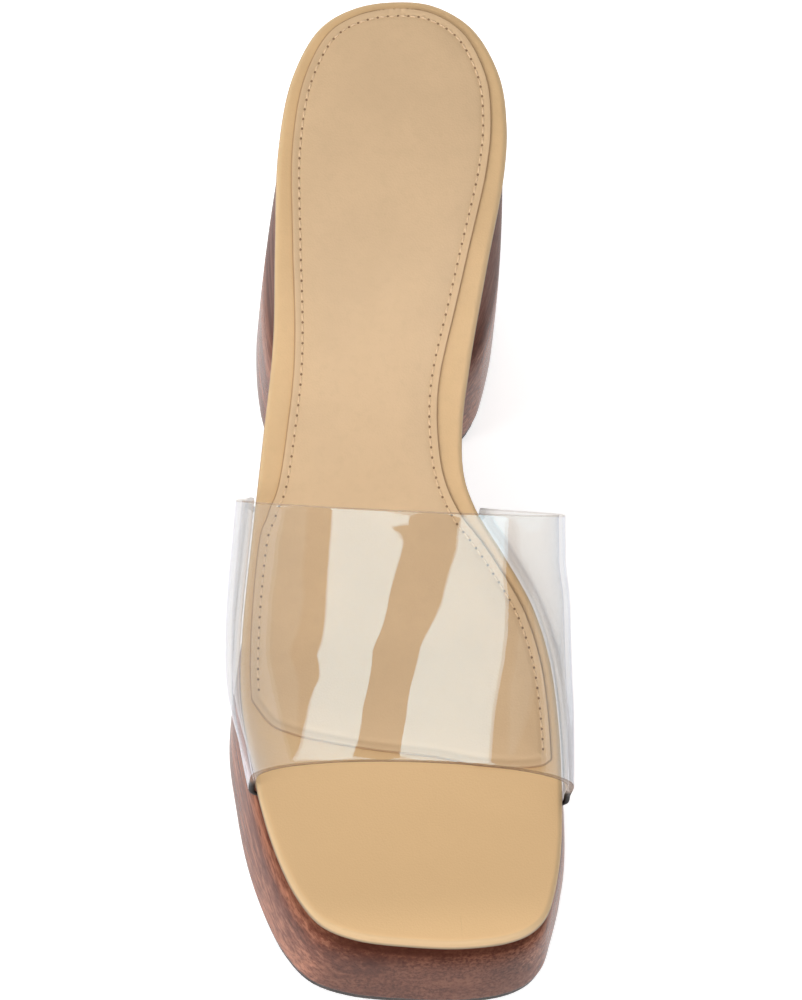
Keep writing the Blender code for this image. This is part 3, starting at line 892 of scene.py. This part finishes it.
def band_path(place):
    """Middle line (x, height) of the band's section at a place along it."""
    height = between(BAND_BACK_HEIGHT, BAND_FRONT_HEIGHT, place) + BAND_WALL / 2
    waist = height * band_waist(place)
    power = 2 / band_square(place)
    t = np.arange(1, WALL_BEND_STEPS + 1) / WALL_BEND_STEPS
    half = {}
    wide = {}
    for side in (LATERAL, MEDIAL):
        end = band_end(side, place)
        foot = end[-1, 0]
        wide[side] = foot + side * BAND_BULGE[side] * band_bulge[side](place)
        x = bezier(foot, foot, wide[side], wide[side], t)
        rise = bezier(0.0, WALL_LOW_HANDLE * waist, WALL_HIGH_HANDLE * waist, waist, t)
        half[side] = np.vstack([end, np.column_stack([x, rise])])
    middle = 0.5 * (wide[LATERAL] + wide[MEDIAL])
    turn = np.pi * np.arange(1, 2 * ARCH_STEPS) / (2 * ARCH_STEPS)
    reach = np.sign(np.cos(turn)) * np.abs(np.cos(turn)) ** power
    x = middle + (wide[LATERAL] - middle) * reach
    rise = waist + (height - waist) * np.sin(turn) ** power
    return np.vstack([half[LATERAL], np.column_stack([x, rise]), half[MEDIAL][::-1]])


def offset_path(path, distance):
    """The path moved sideways by a distance, positive to its left."""
    run = np.diff(path, axis=0)
    run /= np.linalg.norm(run, axis=1, keepdims=True)
    run_out = np.vstack([run, run[-1:]])
    middle = np.vstack([run[:1], run]) + run_out
    middle /= np.linalg.norm(middle, axis=1, keepdims=True)
    square = np.column_stack([-middle[:, 1], middle[:, 0]])
    widen = 1 / np.maximum(0.5, (middle * run_out).sum(axis=1))
    return path + square * (distance * widen)[:, None]


def band_mesh(sizes):
    """One band with a real wall and two cut rims."""
    length = (BAND_PLACES[MEDIAL][1] - BAND_PLACES[MEDIAL][0]) * FOOTBED_LENGTH
    rim = [(inset / length, BAND_WALL / 2 - sizes.film_rim_round + rise)
           for inset, rise in ((sizes.film_rim_round * (1 - math.cos(turn)),
                                sizes.film_rim_round * math.sin(turn))
                               for turn in np.radians(90) * np.arange(RIM_STEPS + 1) / RIM_STEPS)]
    start = rim[-1][0]
    middle = [(place, BAND_WALL / 2) for place in np.linspace(start, 1 - start, BAND_ROWS)[1:-1]]
    rows = []
    for place, half in rim + middle + [(1 - place, half) for place, half in rim[::-1]]:
        path = band_path(place)
        outer = band_points(place, offset_path(path, half))
        inner = band_points(place, offset_path(path, -half))
        rows.append(np.vstack([outer, inner[::-1]]))
    mesh = skin("band", np.stack(rows), closed_start=True, closed_end=True, rim_rows=RIM_STEPS)
    places = vertices(mesh)
    above = places[:, 2] - top_height(along_of(places[:, 1]))
    # painted shade: the rims grow dark towards their feet
    mark(mesh, "low", 1 - soft_step(0.25 * sizes.foot_shade_height, sizes.foot_shade_height, above))
    return mesh


# Materials

class Number:
    """A socket that carries a number. Arithmetic on it adds Math nodes."""

    def __init__(self, nodes, socket):
        self.nodes = nodes
        self.socket = socket

    def math(self, operation, *values):
        made = self.nodes.node("ShaderNodeMath", {"operation": operation}, dict(enumerate(values)))
        return Number(self.nodes, made.outputs[0])

    def __add__(self, other):
        return self.math("ADD", self, other)

    def __radd__(self, other):
        return self.math("ADD", other, self)

    def __sub__(self, other):
        return self.math("SUBTRACT", self, other)

    def __rsub__(self, other):
        return self.math("SUBTRACT", other, self)

    def __mul__(self, other):
        return self.math("MULTIPLY", self, other)

    def __rmul__(self, other):
        return self.math("MULTIPLY", other, self)

    def __pow__(self, other):
        return self.math("POWER", self, other)


class Nodes:
    """A node tree while its nodes are laid."""

    def __init__(self, tree):
        self.tree = tree
        tree.nodes.clear()

    def node(self, kind, settings=None, sockets=None):
        """Adds a node. Settings come first, then values or links of sockets.

        A node that is given as a value links its first output.
        """
        made = self.tree.nodes.new(kind)
        for name, value in (settings or {}).items():
            if name == "stops":
                self.set_stops(made.color_ramp, value)
            else:
                setattr(made, name, value)
        for key, value in (sockets or {}).items():
            value = value.socket if isinstance(value, Number) else value
            value = value.outputs[0] if isinstance(value, bpy.types.Node) else value
            if isinstance(value, bpy.types.NodeSocket):
                self.tree.links.new(value, made.inputs[key])
            else:
                made.inputs[key].default_value = value
        return made

    def set_stops(self, ramp, stops):
        while len(ramp.elements) < len(stops):
            ramp.elements.new(0.5)
        for element, (position, colour) in zip(ramp.elements, stops):
            element.position = position
            element.color = rgba(colour)

    def step(self, value, low, high):
        """0 where value is under low, 1 above high, smooth between."""
        settings = {"interpolation_type": "SMOOTHSTEP"}
        sockets = {"Value": value, "From Min": low, "From Max": high}
        made = self.node("ShaderNodeMapRange", settings, sockets)
        return Number(self, made.outputs[0])


class Finish(Nodes):
    """A material while its nodes are laid."""

    def __init__(self, name):
        self.material = bpy.data.materials.new(name)
        self.material.use_nodes = True
        super().__init__(self.material.node_tree)
        self.object_place = self.node("ShaderNodeTexCoord").outputs["Object"]

    def noise(self, scale, detail=3.0, roughness=0.55, stretch=(1, 1, 1), distortion=0.0):
        """Soft noise, scale in repeats a metre, divided by stretch on each axis."""
        spread = tuple(scale / share for share in stretch)
        place = self.node("ShaderNodeMapping", {}, {"Vector": self.object_place, "Scale": spread})
        made = self.node("ShaderNodeTexNoise", {}, {
            "Vector": place, "Scale": 1.0, "Detail": detail,
            "Roughness": roughness, "Distortion": distortion})
        return Number(self, made.outputs[0])

    def cells(self, scale):
        """Distance from the middle of round cells, scale in repeats a metre."""
        made = self.node("ShaderNodeTexVoronoi", {}, {
            "Vector": self.object_place, "Scale": scale})
        return Number(self, made.outputs["Distance"])

    def across(self, axis):
        """The object coordinate along an axis, 0 to 2 for X to Z."""
        made = self.node("ShaderNodeSeparateXYZ", {}, {0: self.object_place})
        return Number(self, made.outputs[axis])

    def kept(self, name):
        """A number that the mesh keeps at its vertices."""
        made = self.node("ShaderNodeAttribute", {"attribute_name": name})
        return Number(self, made.outputs["Fac"])

    def facing(self):
        """0 where the surface faces the view, 1 where it is seen edge on."""
        return Number(self, self.node("ShaderNodeLayerWeight").outputs["Facing"])

    def blend(self, factor, first, second):
        """A colour between two colours or colour sockets."""
        sockets = {0: factor}
        for key, colour in ((6, first), (7, second)):
            sockets[key] = colour if isinstance(colour, bpy.types.NodeSocket) else rgba(colour)
        made = self.node("ShaderNodeMix", {"data_type": "RGBA"}, sockets)
        return made.outputs[2]

    def ramp(self, value, stops):
        """The colour at a value from 0 to 1, between stops (value, colour)."""
        return self.node("ShaderNodeValToRGB", {"stops": stops}, {0: value}).outputs[0]

    def bump(self, height, depth):
        """A normal for a height from 0 to 1 that is depth metres deep."""
        sockets = {"Height": height, "Distance": depth, "Strength": 1.0}
        return self.node("ShaderNodeBump", {}, sockets).outputs[0]

    def surface(self, **sockets):
        """Ends the material in a Principled shader."""
        named = {name.replace("_", " "): value for name, value in sockets.items()}
        shader = self.node("ShaderNodeBsdfPrincipled", {}, named)
        return self.show(shader)

    def show(self, shader):
        self.node("ShaderNodeOutputMaterial", {}, {"Surface": shader})
        return self.material


def rgba(colour):
    return (*tuple(colour)[:3], 1.0)


def shade(colour, share):
    return tuple(part * share for part in tuple(colour)[:3])


def leather(name, colour, edge_colour, edge_width, edge_share):
    """Smooth leather: fine pores, faint clouds, an edge of another tone, painted light towards the toe
    and painted shade on the footbed's edge.
    """
    finish = Finish(name)
    inside = finish.kept("inside")
    cloudy = finish.noise(45, detail=4, roughness=0.6)
    spots = finish.noise(420, detail=3, roughness=0.6)
    tone = finish.blend(finish.step(cloudy, 0.32, 0.68), shade(colour, 0.965), shade(colour, 1.03))
    tone = finish.blend(finish.step(spots, 0.45, 0.75) * 0.22, tone, shade(colour, 0.86))
    # painted light: the leather grows paler towards the toe
    for low, high, pale in PAINTED_TOE_LIGHT:
        forward = 1 - finish.step(finish.across(1), low, high)
        tone = finish.blend(forward, tone, shade(colour, pale))
    edge = (1 - finish.step(inside, edge_width * 0.5, edge_width)) * edge_share
    tone = finish.blend(edge, tone, edge_colour)
    # painted shade on the footbed's turned sides and toe edge
    tone = finish.blend(finish.kept("turned") * 0.8, tone, shade(colour, 0.38))
    # painted shadow on the footbed's lower edge
    tone = finish.blend(finish.kept("under") * 0.9, tone, shade(colour, 0.10))
    grain = finish.cells(1900) * 0.6 + finish.noise(3200, detail=2) * 0.4
    rough = 0.46 + finish.noise(260, detail=3) * 0.14
    normal = finish.bump(grain, 0.00004)
    return finish.surface(Base_Color=tone, Roughness=rough, Normal=normal, Specular_IOR_Level=0.30)


def stained_wood(colours):
    """Stained wood with a thin satin lacquer, its grain along the shoe, with painted shade under the
    footbed and higher up.
    """
    finish = Finish("stained_wood")
    figure = finish.noise(42, detail=5, roughness=0.6, stretch=(1, 5.5, 0.5), distortion=0.5)
    fibres = finish.noise(700, detail=4, roughness=0.65, stretch=(1, 20, 1))
    patches = finish.noise(30, detail=3, roughness=0.5, stretch=(1, 1.6, 1))
    speckle = finish.noise(1100, detail=3, roughness=0.7, stretch=(1, 3, 1))
    mixed = figure * 0.5 + fibres * 0.5
    tone = finish.ramp(mixed, [
        (0.34, colours.wood_dark), (0.50, colours.wood), (0.66, colours.wood_light)])
    light = finish.step(patches, 0.48, 0.66) * finish.step(speckle, 0.42, 0.62)
    tone = finish.blend(light * 0.75, tone, colours.wood_light)
    pores = finish.step(finish.noise(1500, detail=2, stretch=(1, 14, 1)), 0.58, 0.70)
    tone = finish.blend(pores * 0.55, tone, shade(colours.wood_dark, 0.6))
    tone = finish.blend(finish.kept("end_grain") * 0.62, tone, shade(colours.wood_dark, 0.8))
    below = finish.kept("below_edge")
    # painted shadow of the overhanging footbed on the wood's top, deeper at the toe
    toe = 1 - finish.step(finish.across(1), *WOOD_TOE_PAINTED_SHADOW)
    footbed_painted_shadow = (1 - finish.step(below, *WOOD_PAINTED_SHADOW)) * (0.30 + toe * 0.30)
    tone = finish.blend(footbed_painted_shadow, tone, shade(colours.wood_dark, 0.9))
    height = finish.across(2)
    # painted shade: the wood darker higher up, towards the footbed
    darker = finish.step(height, *WOOD_PAINTED_SHADE) * 0.6
    tone = finish.blend(darker, tone, shade(colours.wood_dark, 1.3))
    glossy = finish.step(below, *WOOD_GLOSS) * (1 - finish.step(height, *WOOD_GLOSS_END))
    coat = glossy * 0.42 + finish.facing() ** 12.0 * 0.5
    rough = 0.34 + fibres * 0.16
    normal = finish.bump(fibres * 0.6 + (1 - pores) * 0.4, 0.00010)
    return finish.surface(Base_Color=tone, Roughness=rough, Normal=normal, Coat_Weight=coat,
                          Coat_Roughness=0.25, Specular_IOR_Level=0.0)


def clear_film(colours):
    """Clear vinyl: see-through from the front, a mirror at grazing angles."""
    finish = Finish("clear_vinyl")
    facing = finish.facing()

    def mixed(factor, kind, front, side, **sockets):
        parts = [finish.node(kind, {}, {"Color": rgba(tone), **sockets}) for tone in (front, side)]
        return finish.node("ShaderNodeMixShader", {}, {0: factor, 1: parts[0], 2: parts[1]})

    through = mixed(facing ** 1.7, "ShaderNodeBsdfTransparent", colours.film, colours.film_side)
    gloss = mixed(facing ** 1.2, "ShaderNodeBsdfAnisotropic",
                  colours.film_gloss, colours.film_sheen, Roughness=0.02)
    mirrored = 0.04 + facing ** 5.0 * 0.96
    return finish.show(finish.node("ShaderNodeMixShader", {}, {0: mirrored, 1: through, 2: gloss}))


def cut_rim(name, colour, cover, foot_cover):
    """A cut edge of the film in painted shade, darkest where it meets the footbed."""
    finish = Finish(name)
    low = finish.kept("low")
    through = finish.node("ShaderNodeBsdfTransparent", {}, {"Color": (0.93, 0.92, 0.91, 1.0)})
    speck = finish.noise(900, detail=2)
    # painted shade: the rim turns to FOOT_SHADE at its feet
    tone = finish.blend(low, finish.blend(speck, shade(colour, 0.9), shade(colour, 1.1)), FOOT_SHADE)
    solid = finish.node("ShaderNodeBsdfPrincipled", {}, {
        "Base Color": tone, "Roughness": 0.4, "Specular IOR Level": 0.1})
    seen = cover + low * (foot_cover - cover)
    return finish.show(finish.node("ShaderNodeMixShader", {}, {0: seen, 1: through, 2: solid}))


def rubber(colour):
    """Matte dark rubber, faintly dusty."""
    finish = Finish("dark_rubber")
    dusty = finish.noise(300, detail=4)
    tone = finish.blend(finish.step(dusty, 0.4, 0.7), colour, shade(colour, 1.7))
    rough = 0.62 + finish.noise(900, detail=2) * 0.15
    normal = finish.bump(finish.noise(2400, detail=2), 0.00006)
    return finish.surface(Base_Color=tone, Roughness=rough, Normal=normal)


def thread(colour):
    """Twisted sewing thread."""
    finish = Finish("sewing_thread")
    twist = finish.noise(3000, detail=2)
    tone = finish.blend(twist, shade(colour, 0.82), shade(colour, 1.1))
    return finish.surface(Base_Color=tone, Roughness=0.55 + twist * 0.1)


def needle_hole(colour):
    """The shade in a needle hole."""
    finish = Finish("needle_hole")
    tone = finish.blend(finish.noise(900, detail=2), shade(colour, 0.8), shade(colour, 1.2))
    return finish.surface(Base_Color=tone, Roughness=0.8 + finish.noise(500) * 0.1)


def pale_floor(colour):
    """A studio floor that glows a little, so that it shows white."""
    finish = Finish("pale_floor")
    tone = finish.blend(finish.noise(3, detail=2), shade(colour, 0.995), colour)
    return finish.surface(Base_Color=tone, Roughness=0.75 + finish.noise(5) * 0.05,
                          Emission_Color=rgba(colour), Emission_Strength=FLOOR_GLOW)


# Stitching tree

def stitch_tree():
    """Geometry nodes that sew along a line: holes, and thread between them."""
    tree = bpy.data.node_groups.new("sewn_line", "GeometryNodeTree")
    inputs = [
        ("Line", "NodeSocketGeometry"), ("Spacing", "NodeSocketFloat"),
        ("Thread Length", "NodeSocketFloat"), ("Thread Radius", "NodeSocketFloat"),
        ("Thread Arch", "NodeSocketFloat"), ("Hole Radius", "NodeSocketFloat"),
        ("Thread Material", "NodeSocketMaterial"), ("Hole Material", "NodeSocketMaterial"),
    ]
    for name, kind in inputs:
        tree.interface.new_socket(name=name, in_out="INPUT", socket_type=kind)
    tree.interface.new_socket(name="Sewn", in_out="OUTPUT", socket_type="NodeSocketGeometry")

    nodes = Nodes(tree)
    node = nodes.node
    given = node("NodeGroupInput").outputs
    line = node("GeometryNodeMeshToCurve", {}, {"Mesh": given["Line"]})
    spots = node("GeometryNodeResampleCurve", {"mode": "LENGTH"}, {
        "Curve": line, "Length": given["Spacing"]})
    half_space = Number(nodes, given["Spacing"]) * 0.5
    whole = node("GeometryNodeCurveLength", {}, {"Curve": line})
    inner = node("GeometryNodeTrimCurve", {"mode": "LENGTH"}, {
        "Curve": line, 4: half_space, 5: Number(nodes, whole.outputs[0]) - half_space})
    gaps = node("GeometryNodeResampleCurve", {"mode": "LENGTH"}, {
        "Curve": inner, "Length": given["Spacing"]})
    tangent = node("GeometryNodeInputTangent")
    up = node("GeometryNodeInputNamedAttribute", {"data_type": "FLOAT_VECTOR"}, {"Name": "up"})
    along = node("FunctionNodeAlignRotationToVector", {"axis": "X"}, {"Vector": tangent})
    turned = node("FunctionNodeAlignRotationToVector", {"axis": "Z", "pivot_axis": "X"}, {
        "Rotation": along, "Vector": up})

    half = Number(nodes, given["Thread Length"]) * 0.5
    sunk = Number(nodes, given["Thread Radius"]) * -1.2
    start = node("ShaderNodeCombineXYZ", {}, {0: half * -1.0, 2: sunk})
    top = node("ShaderNodeCombineXYZ", {}, {2: given["Thread Arch"]})
    end = node("ShaderNodeCombineXYZ", {}, {0: half, 2: sunk})
    arc = node("GeometryNodeCurveQuadraticBezier", {}, {
        "Resolution": 7, "Start": start, "Middle": top, "End": end})
    ring = node("GeometryNodeCurvePrimitiveCircle", {}, {
        "Resolution": 8, "Radius": given["Thread Radius"]})
    stitch = node("GeometryNodeCurveToMesh", {}, {
        "Curve": arc, "Profile Curve": ring, "Fill Caps": True})
    # each needle hole is a flat dark lens on the sock, its colour painted shade
    ball = node("GeometryNodeMeshUVSphere", {}, {
        "Segments": 10, "Rings": 5, "Radius": given["Hole Radius"]})
    hole = node("GeometryNodeTransform", {}, {"Geometry": ball, "Scale": (1.0, 1.0, 0.28)})

    joined = node("GeometryNodeJoinGeometry")
    for places, shape, material in ((gaps, stitch, "Thread Material"), (spots, hole, "Hole Material")):
        shape = node("GeometryNodeSetMaterial", {}, {"Geometry": shape, "Material": given[material]})
        sewn = node("GeometryNodeInstanceOnPoints", {}, {
            "Points": places, "Instance": shape, "Rotation": turned})
        tree.links.new(sewn.outputs[0], joined.inputs[0])
    real = node("GeometryNodeRealizeInstances", {}, {"Geometry": joined})
    node("NodeGroupOutput", {}, {"Sewn": real})
    return tree


def set_inputs(modifier, values):
    """Sets a geometry nodes modifier's inputs by their sockets' names."""
    for item in modifier.node_group.interface.items_tree:
        if item.name in values:
            modifier[item.identifier] = values[item.name]


# Sizes and colours

def metres(name, description, default):
    return bpy.props.FloatProperty(name=name, description=description, default=default,
                                   min=0.0, unit="LENGTH", precision=5)


def factor(name, description, default):
    return bpy.props.FloatProperty(name=name, description=description, default=default,
                                   min=0.0, soft_max=2.0, subtype="FACTOR")


def paint(name, description, default):
    return bpy.props.FloatVectorProperty(name=name, description=description, default=default,
                                         size=3, min=0.0, max=1.0, subtype="COLOR")


class SlideSizes(bpy.types.PropertyGroup):
    """Sizes of the sewn, padded and cut details."""

    stitch_spacing: metres("Stitch spacing", "From one needle hole to the next", 0.0026)
    stitch_inset: metres("Stitch inset", "From the sock's cut edge to its stitching", 0.0021)
    thread_width: metres("Thread width", "Width of the sewing thread", 0.00050)
    thread_length: metres("Thread length", "Length of thread seen between two holes", 0.0016)
    hole_width: metres("Needle hole width", "Width of a needle hole", 0.00068)
    sock_edge_height: metres("Sock edge", "Height of the sock's cut edge", 0.0007)
    sock_edge_round: metres("Sock edge round", "Round of the sock's cut edge", 0.0004)
    pad_slope: metres("Pad slope", "Width of the slope from the stitching to the pad", 0.0060)
    channel_depth: metres("Channel depth", "How deep the stitching pulls the sock in", 0.00026)
    channel_width: metres("Channel width", "Half width of the sewn channel", 0.0008)
    film_rim_round: metres("Band rim round", "Round of the band's cut rims", 0.00045)
    # height of the rims' painted shade at their feet
    foot_shade_height: metres("Dark foot", "Height over which the band's rim is dark", 0.0100)
    crease_strength: factor("Creases", "Depth of the leather's soft creases", 1.0)


class SlideColours(bpy.types.PropertyGroup):
    """Colours of the materials."""

    leather: paint("Footbed leather", "Tan leather round the footbed", (0.625, 0.41, 0.205))
    leather_edge: paint("Footbed edge", "Turned edge of the footbed", (0.60, 0.415, 0.225))
    sock: paint("Sock leather", "Paler leather of the sock", (0.605, 0.415, 0.238))
    sock_edge: paint("Sock edge", "Cut edge of the sock", (0.36, 0.21, 0.096))
    thread: paint("Thread", "Sewing thread", (0.71, 0.50, 0.30))
    hole: paint("Needle holes", "Shade in the needle holes", (0.22, 0.12, 0.055))
    wood_dark: paint("Dark grain", "Darkest grain of the wood", (0.045, 0.013, 0.008))
    wood: paint("Wood", "Stain of the wood", (0.155, 0.054, 0.034))
    wood_light: paint("Light grain", "Lightest grain of the wood", (0.38, 0.160, 0.095))
    rubber: paint("Rubber", "Outsole and top piece", (0.018, 0.013, 0.011))
    film: paint("Film", "What the clear band lets through", (0.975, 0.96, 0.94))
    film_side: paint("Film side", "What the film lets through edge on", (0.85, 0.84, 0.85))
    film_gloss: paint("Film gloss", "Reflections seen square to the film", (0.50, 0.82, 0.98))
    film_sheen: paint("Film sheen", "Reflections at grazing angles", (0.86, 0.82, 0.85))
    # the band's cut rims: their colours are painted shade
    film_back_rim_shade: paint("Back rim", "Cut rim of the band at the throat", (0.42, 0.38, 0.36))
    film_front_rim_shade: paint("Front rim", "Cut rim of the band at the toe", (0.20, 0.12, 0.07))
    floor: paint("Floor", "Pale studio floor", (0.93, 0.93, 0.93))


# Operators

class SLIDE_OT_wood(bpy.types.Operator):
    """Makes the carved wooden sole"""

    bl_idname = "slide.wood"
    bl_label = "Wooden sole"

    def execute(self, context):
        finish = stained_wood(context.scene.slide_colours)
        add_piece("carved_sole", wood_mesh(), [finish], "wood_sole")
        return {"FINISHED"}


class SLIDE_OT_rubber(bpy.types.Operator):
    """Makes the rubber outsole and the heel's top piece"""

    bl_idname = "slide.rubber"
    bl_label = "Rubber"

    def execute(self, context):
        finish = rubber(context.scene.slide_colours.rubber)
        sole = rubber_mesh(PLATFORM_BACK, 1.0, outsole_bottom, OUTSOLE_THICKNESS)
        add_piece("platform_rubber", sole, [finish], "outsole")
        heel = rubber_mesh(0.0, HEEL_BREAST, lambda a: 0.0 * a, TOP_PIECE_THICKNESS)
        add_piece("heel_rubber", heel, [finish], "heel_top_piece")
        return {"FINISHED"}


class SLIDE_OT_footbed(bpy.types.Operator):
    """Makes the leather-wrapped footbed"""

    bl_idname = "slide.footbed"
    bl_label = "Footbed"

    def execute(self, context):
        colours = context.scene.slide_colours
        finish = leather("footbed_leather", colours.leather, colours.leather_edge, 0.0014, 0.75)
        mesh = footbed_mesh(context.scene.slide_sizes)
        add_piece("wrapped_footbed", mesh, [finish], "footbed")
        return {"FINISHED"}


class SLIDE_OT_sock(bpy.types.Operator):
    """Makes the padded sock"""

    bl_idname = "slide.sock"
    bl_label = "Sock"

    def execute(self, context):
        colours = context.scene.slide_colours
        finish = leather("sock_leather", colours.sock, colours.sock_edge, 0.0004, 0.85)
        mesh = sock_mesh(context.scene.slide_sizes)
        piece = add_piece("padded_sock", mesh, [finish], "sock")
        return {"FINISHED"}


class SLIDE_OT_stitches(bpy.types.Operator):
    """Sews round the sock"""

    bl_idname = "slide.stitches"
    bl_label = "Stitching"

    def execute(self, context):
        sizes = context.scene.slide_sizes
        colours = context.scene.slide_colours
        points, up = seam_line(sizes)
        mesh = bpy.data.meshes.new("seam")
        edges = [(i, i + 1) for i in range(len(points) - 1)]
        mesh.from_pydata(points.tolist(), edges, [])
        kept = mesh.attributes.new("up", "FLOAT_VECTOR", "POINT")
        kept.data.foreach_set("vector", up.ravel())
        maker = put("seam_maker", mesh)
        sewing = maker.modifiers.new("sewing", "NODES")
        sewing.node_group = stitch_tree()
        materials = [thread(colours.thread), needle_hole(colours.hole)]
        set_inputs(sewing, {
            "Spacing": sizes.stitch_spacing,
            "Thread Length": sizes.thread_length,
            "Thread Radius": sizes.thread_width / 2,
            "Thread Arch": sizes.thread_width * 0.9,
            "Hole Radius": sizes.hole_width / 2,
            "Thread Material": materials[0],
            "Hole Material": materials[1],
        })
        sewn = bake(maker)
        if not sewn.polygons:
            raise RuntimeError("the stitching tree made no stitches")
        for i in reversed(range(len(sewn.materials))):
            if sewn.materials[i] is None:
                sewn.materials.pop(index=i)
        add_piece("sock_stitches", sewn, [])
        return {"FINISHED"}


class SLIDE_OT_band(bpy.types.Operator):
    """Makes the clear band"""

    bl_idname = "slide.band"
    bl_label = "Clear band"

    def execute(self, context):
        colours = context.scene.slide_colours
        film = clear_film(colours)
        # the rims' colours are painted shade, darkest at their feet
        back = cut_rim("cut_vinyl_back", colours.film_back_rim_shade, 0.12, 0.30)
        front = cut_rim("cut_vinyl_front", colours.film_front_rim_shade, 0.50, 1.0)
        mesh = band_mesh(context.scene.slide_sizes)
        add_piece("clear_band", mesh, [film, back, front], "strap")
        return {"FINISHED"}


class SLIDE_OT_stage(bpy.types.Operator):
    """Sets the floor, the studio light and the camera"""

    bl_idname = "slide.stage"
    bl_label = "Stage"

    def execute(self, context):
        add_floor(context.scene.slide_colours.floor)
        for panel in PANELS:
            add_panel(*panel)
        add_sky()
        add_camera()
        context.scene.view_settings.view_transform = "Standard"
        return {"FINISHED"}


def add_floor(tone):
    mesh = bpy.data.meshes.new("floor")
    bm = bmesh.new()
    bmesh.ops.create_grid(bm, x_segments=8, y_segments=8, size=FLOOR_HALF)
    bmesh.ops.translate(bm, verts=bm.verts, vec=(0.0, 0.0, -FLOOR_DROP))
    bm.to_mesh(mesh)
    bm.free()
    mesh.materials.append(pale_floor(tone))
    put("floor", mesh)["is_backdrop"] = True


def add_panel(name, distance, radiance, lights, sides):
    """A flat glowing panel that stands in front of the toe."""
    mesh = bpy.data.meshes.new(name)
    outline = np.vstack([smooth_curve(side, PANEL_STEPS) if len(side) > 2 else side for side in sides])
    corners = [LIGHT_TARGET + Vector((x, -distance, z)) for x, z in outline]
    mesh.from_pydata(corners, [], [list(range(len(corners)))])
    glow = Finish(name)
    mesh.materials.append(glow.show(glow.node("ShaderNodeEmission", {}, {"Strength": radiance})))
    panel = put(name, mesh)
    panel.visible_camera = False
    panel.visible_diffuse = lights
    panel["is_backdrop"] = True


def add_sky():
    """A white studio that is dim in front of the toe."""
    world = bpy.data.worlds.new("studio")
    world.use_nodes = True
    nodes = Nodes(world.node_tree)
    way = nodes.node("ShaderNodeTexCoord").outputs["Generated"]
    parts = nodes.node("ShaderNodeSeparateXYZ", {}, {0: way}).outputs
    upward, backward = SKY_TURN
    turn = Number(nodes, parts[2]) * upward + Number(nodes, parts[1]) * backward
    bright = SKY_DIM + nodes.step(turn, *SKY_EDGE) * (SKY_BRIGHT - SKY_DIM)
    light = nodes.node("ShaderNodeBackground", {}, {"Strength": bright})
    nodes.node("ShaderNodeOutputWorld", {}, {"Surface": light})
    bpy.context.scene.world = world


def add_camera():
    """The camera stands where the photograph was taken."""
    around, up = math.radians(CAMERA_AZIMUTH), math.radians(CAMERA_ELEVATION)
    away = Vector((math.sin(around) * math.cos(up), -math.cos(around) * math.cos(up), math.sin(up)))
    level = Vector((-away.y, away.x, 0.0)).normalized()
    upward = away.cross(level)
    roll = math.radians(CAMERA_ROLL)
    right = level * math.cos(roll) + upward * math.sin(roll)
    over = upward * math.cos(roll) - level * math.sin(roll)
    camera = bpy.data.cameras.new("camera")
    camera.sensor_width = SENSOR_WIDTH
    camera.lens = FOCAL_PIXELS / LONG_SIDE_PIXELS * SENSOR_WIDTH
    camera.clip_start = 0.05
    eye = put("camera", camera)
    turn = Matrix((right, over, away)).transposed().to_4x4()
    eye.matrix_world = Matrix.Translation(Vector(CAMERA_TARGET) + away * CAMERA_DISTANCE) @ turn
    bpy.context.scene.camera = eye


# Panel and registering

STEPS = [SLIDE_OT_wood, SLIDE_OT_rubber, SLIDE_OT_footbed, SLIDE_OT_sock,
         SLIDE_OT_stitches, SLIDE_OT_band, SLIDE_OT_stage]


class SLIDE_PT_pieces(bpy.types.Panel):
    """Lists the pieces, their sizes and their colours"""

    bl_label = "Platform Heel Slide"
    bl_space_type = "VIEW_3D"
    bl_region_type = "UI"
    bl_category = "Slide"

    def draw(self, context):
        for step in STEPS:
            self.layout.operator(step.bl_idname)
        for group in (context.scene.slide_sizes, context.scene.slide_colours):
            box = self.layout.box()
            for name in group.__annotations__:
                box.prop(group, name)


CLASSES = [SlideSizes, SlideColours, *STEPS, SLIDE_PT_pieces]


def register():
    for made in CLASSES:
        bpy.utils.register_class(made)
    bpy.types.Scene.slide_sizes = bpy.props.PointerProperty(type=SlideSizes)
    bpy.types.Scene.slide_colours = bpy.props.PointerProperty(type=SlideColours)


def unregister():
    del bpy.types.Scene.slide_colours
    del bpy.types.Scene.slide_sizes
    for made in reversed(CLASSES):
        bpy.utils.unregister_class(made)


def main():
    register()
    bpy.ops.slide.wood()
    bpy.ops.slide.rubber()
    bpy.ops.slide.footbed()
    bpy.ops.slide.sock()
    bpy.ops.slide.stitches()
    bpy.ops.slide.band()
    bpy.ops.slide.stage()
    boxes = {"cad": CAD_BOX, "visual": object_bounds()}
    {name: [list(corner) for corner in box] for name, box in boxes.items()}


if __name__ == "__main__":
    main()
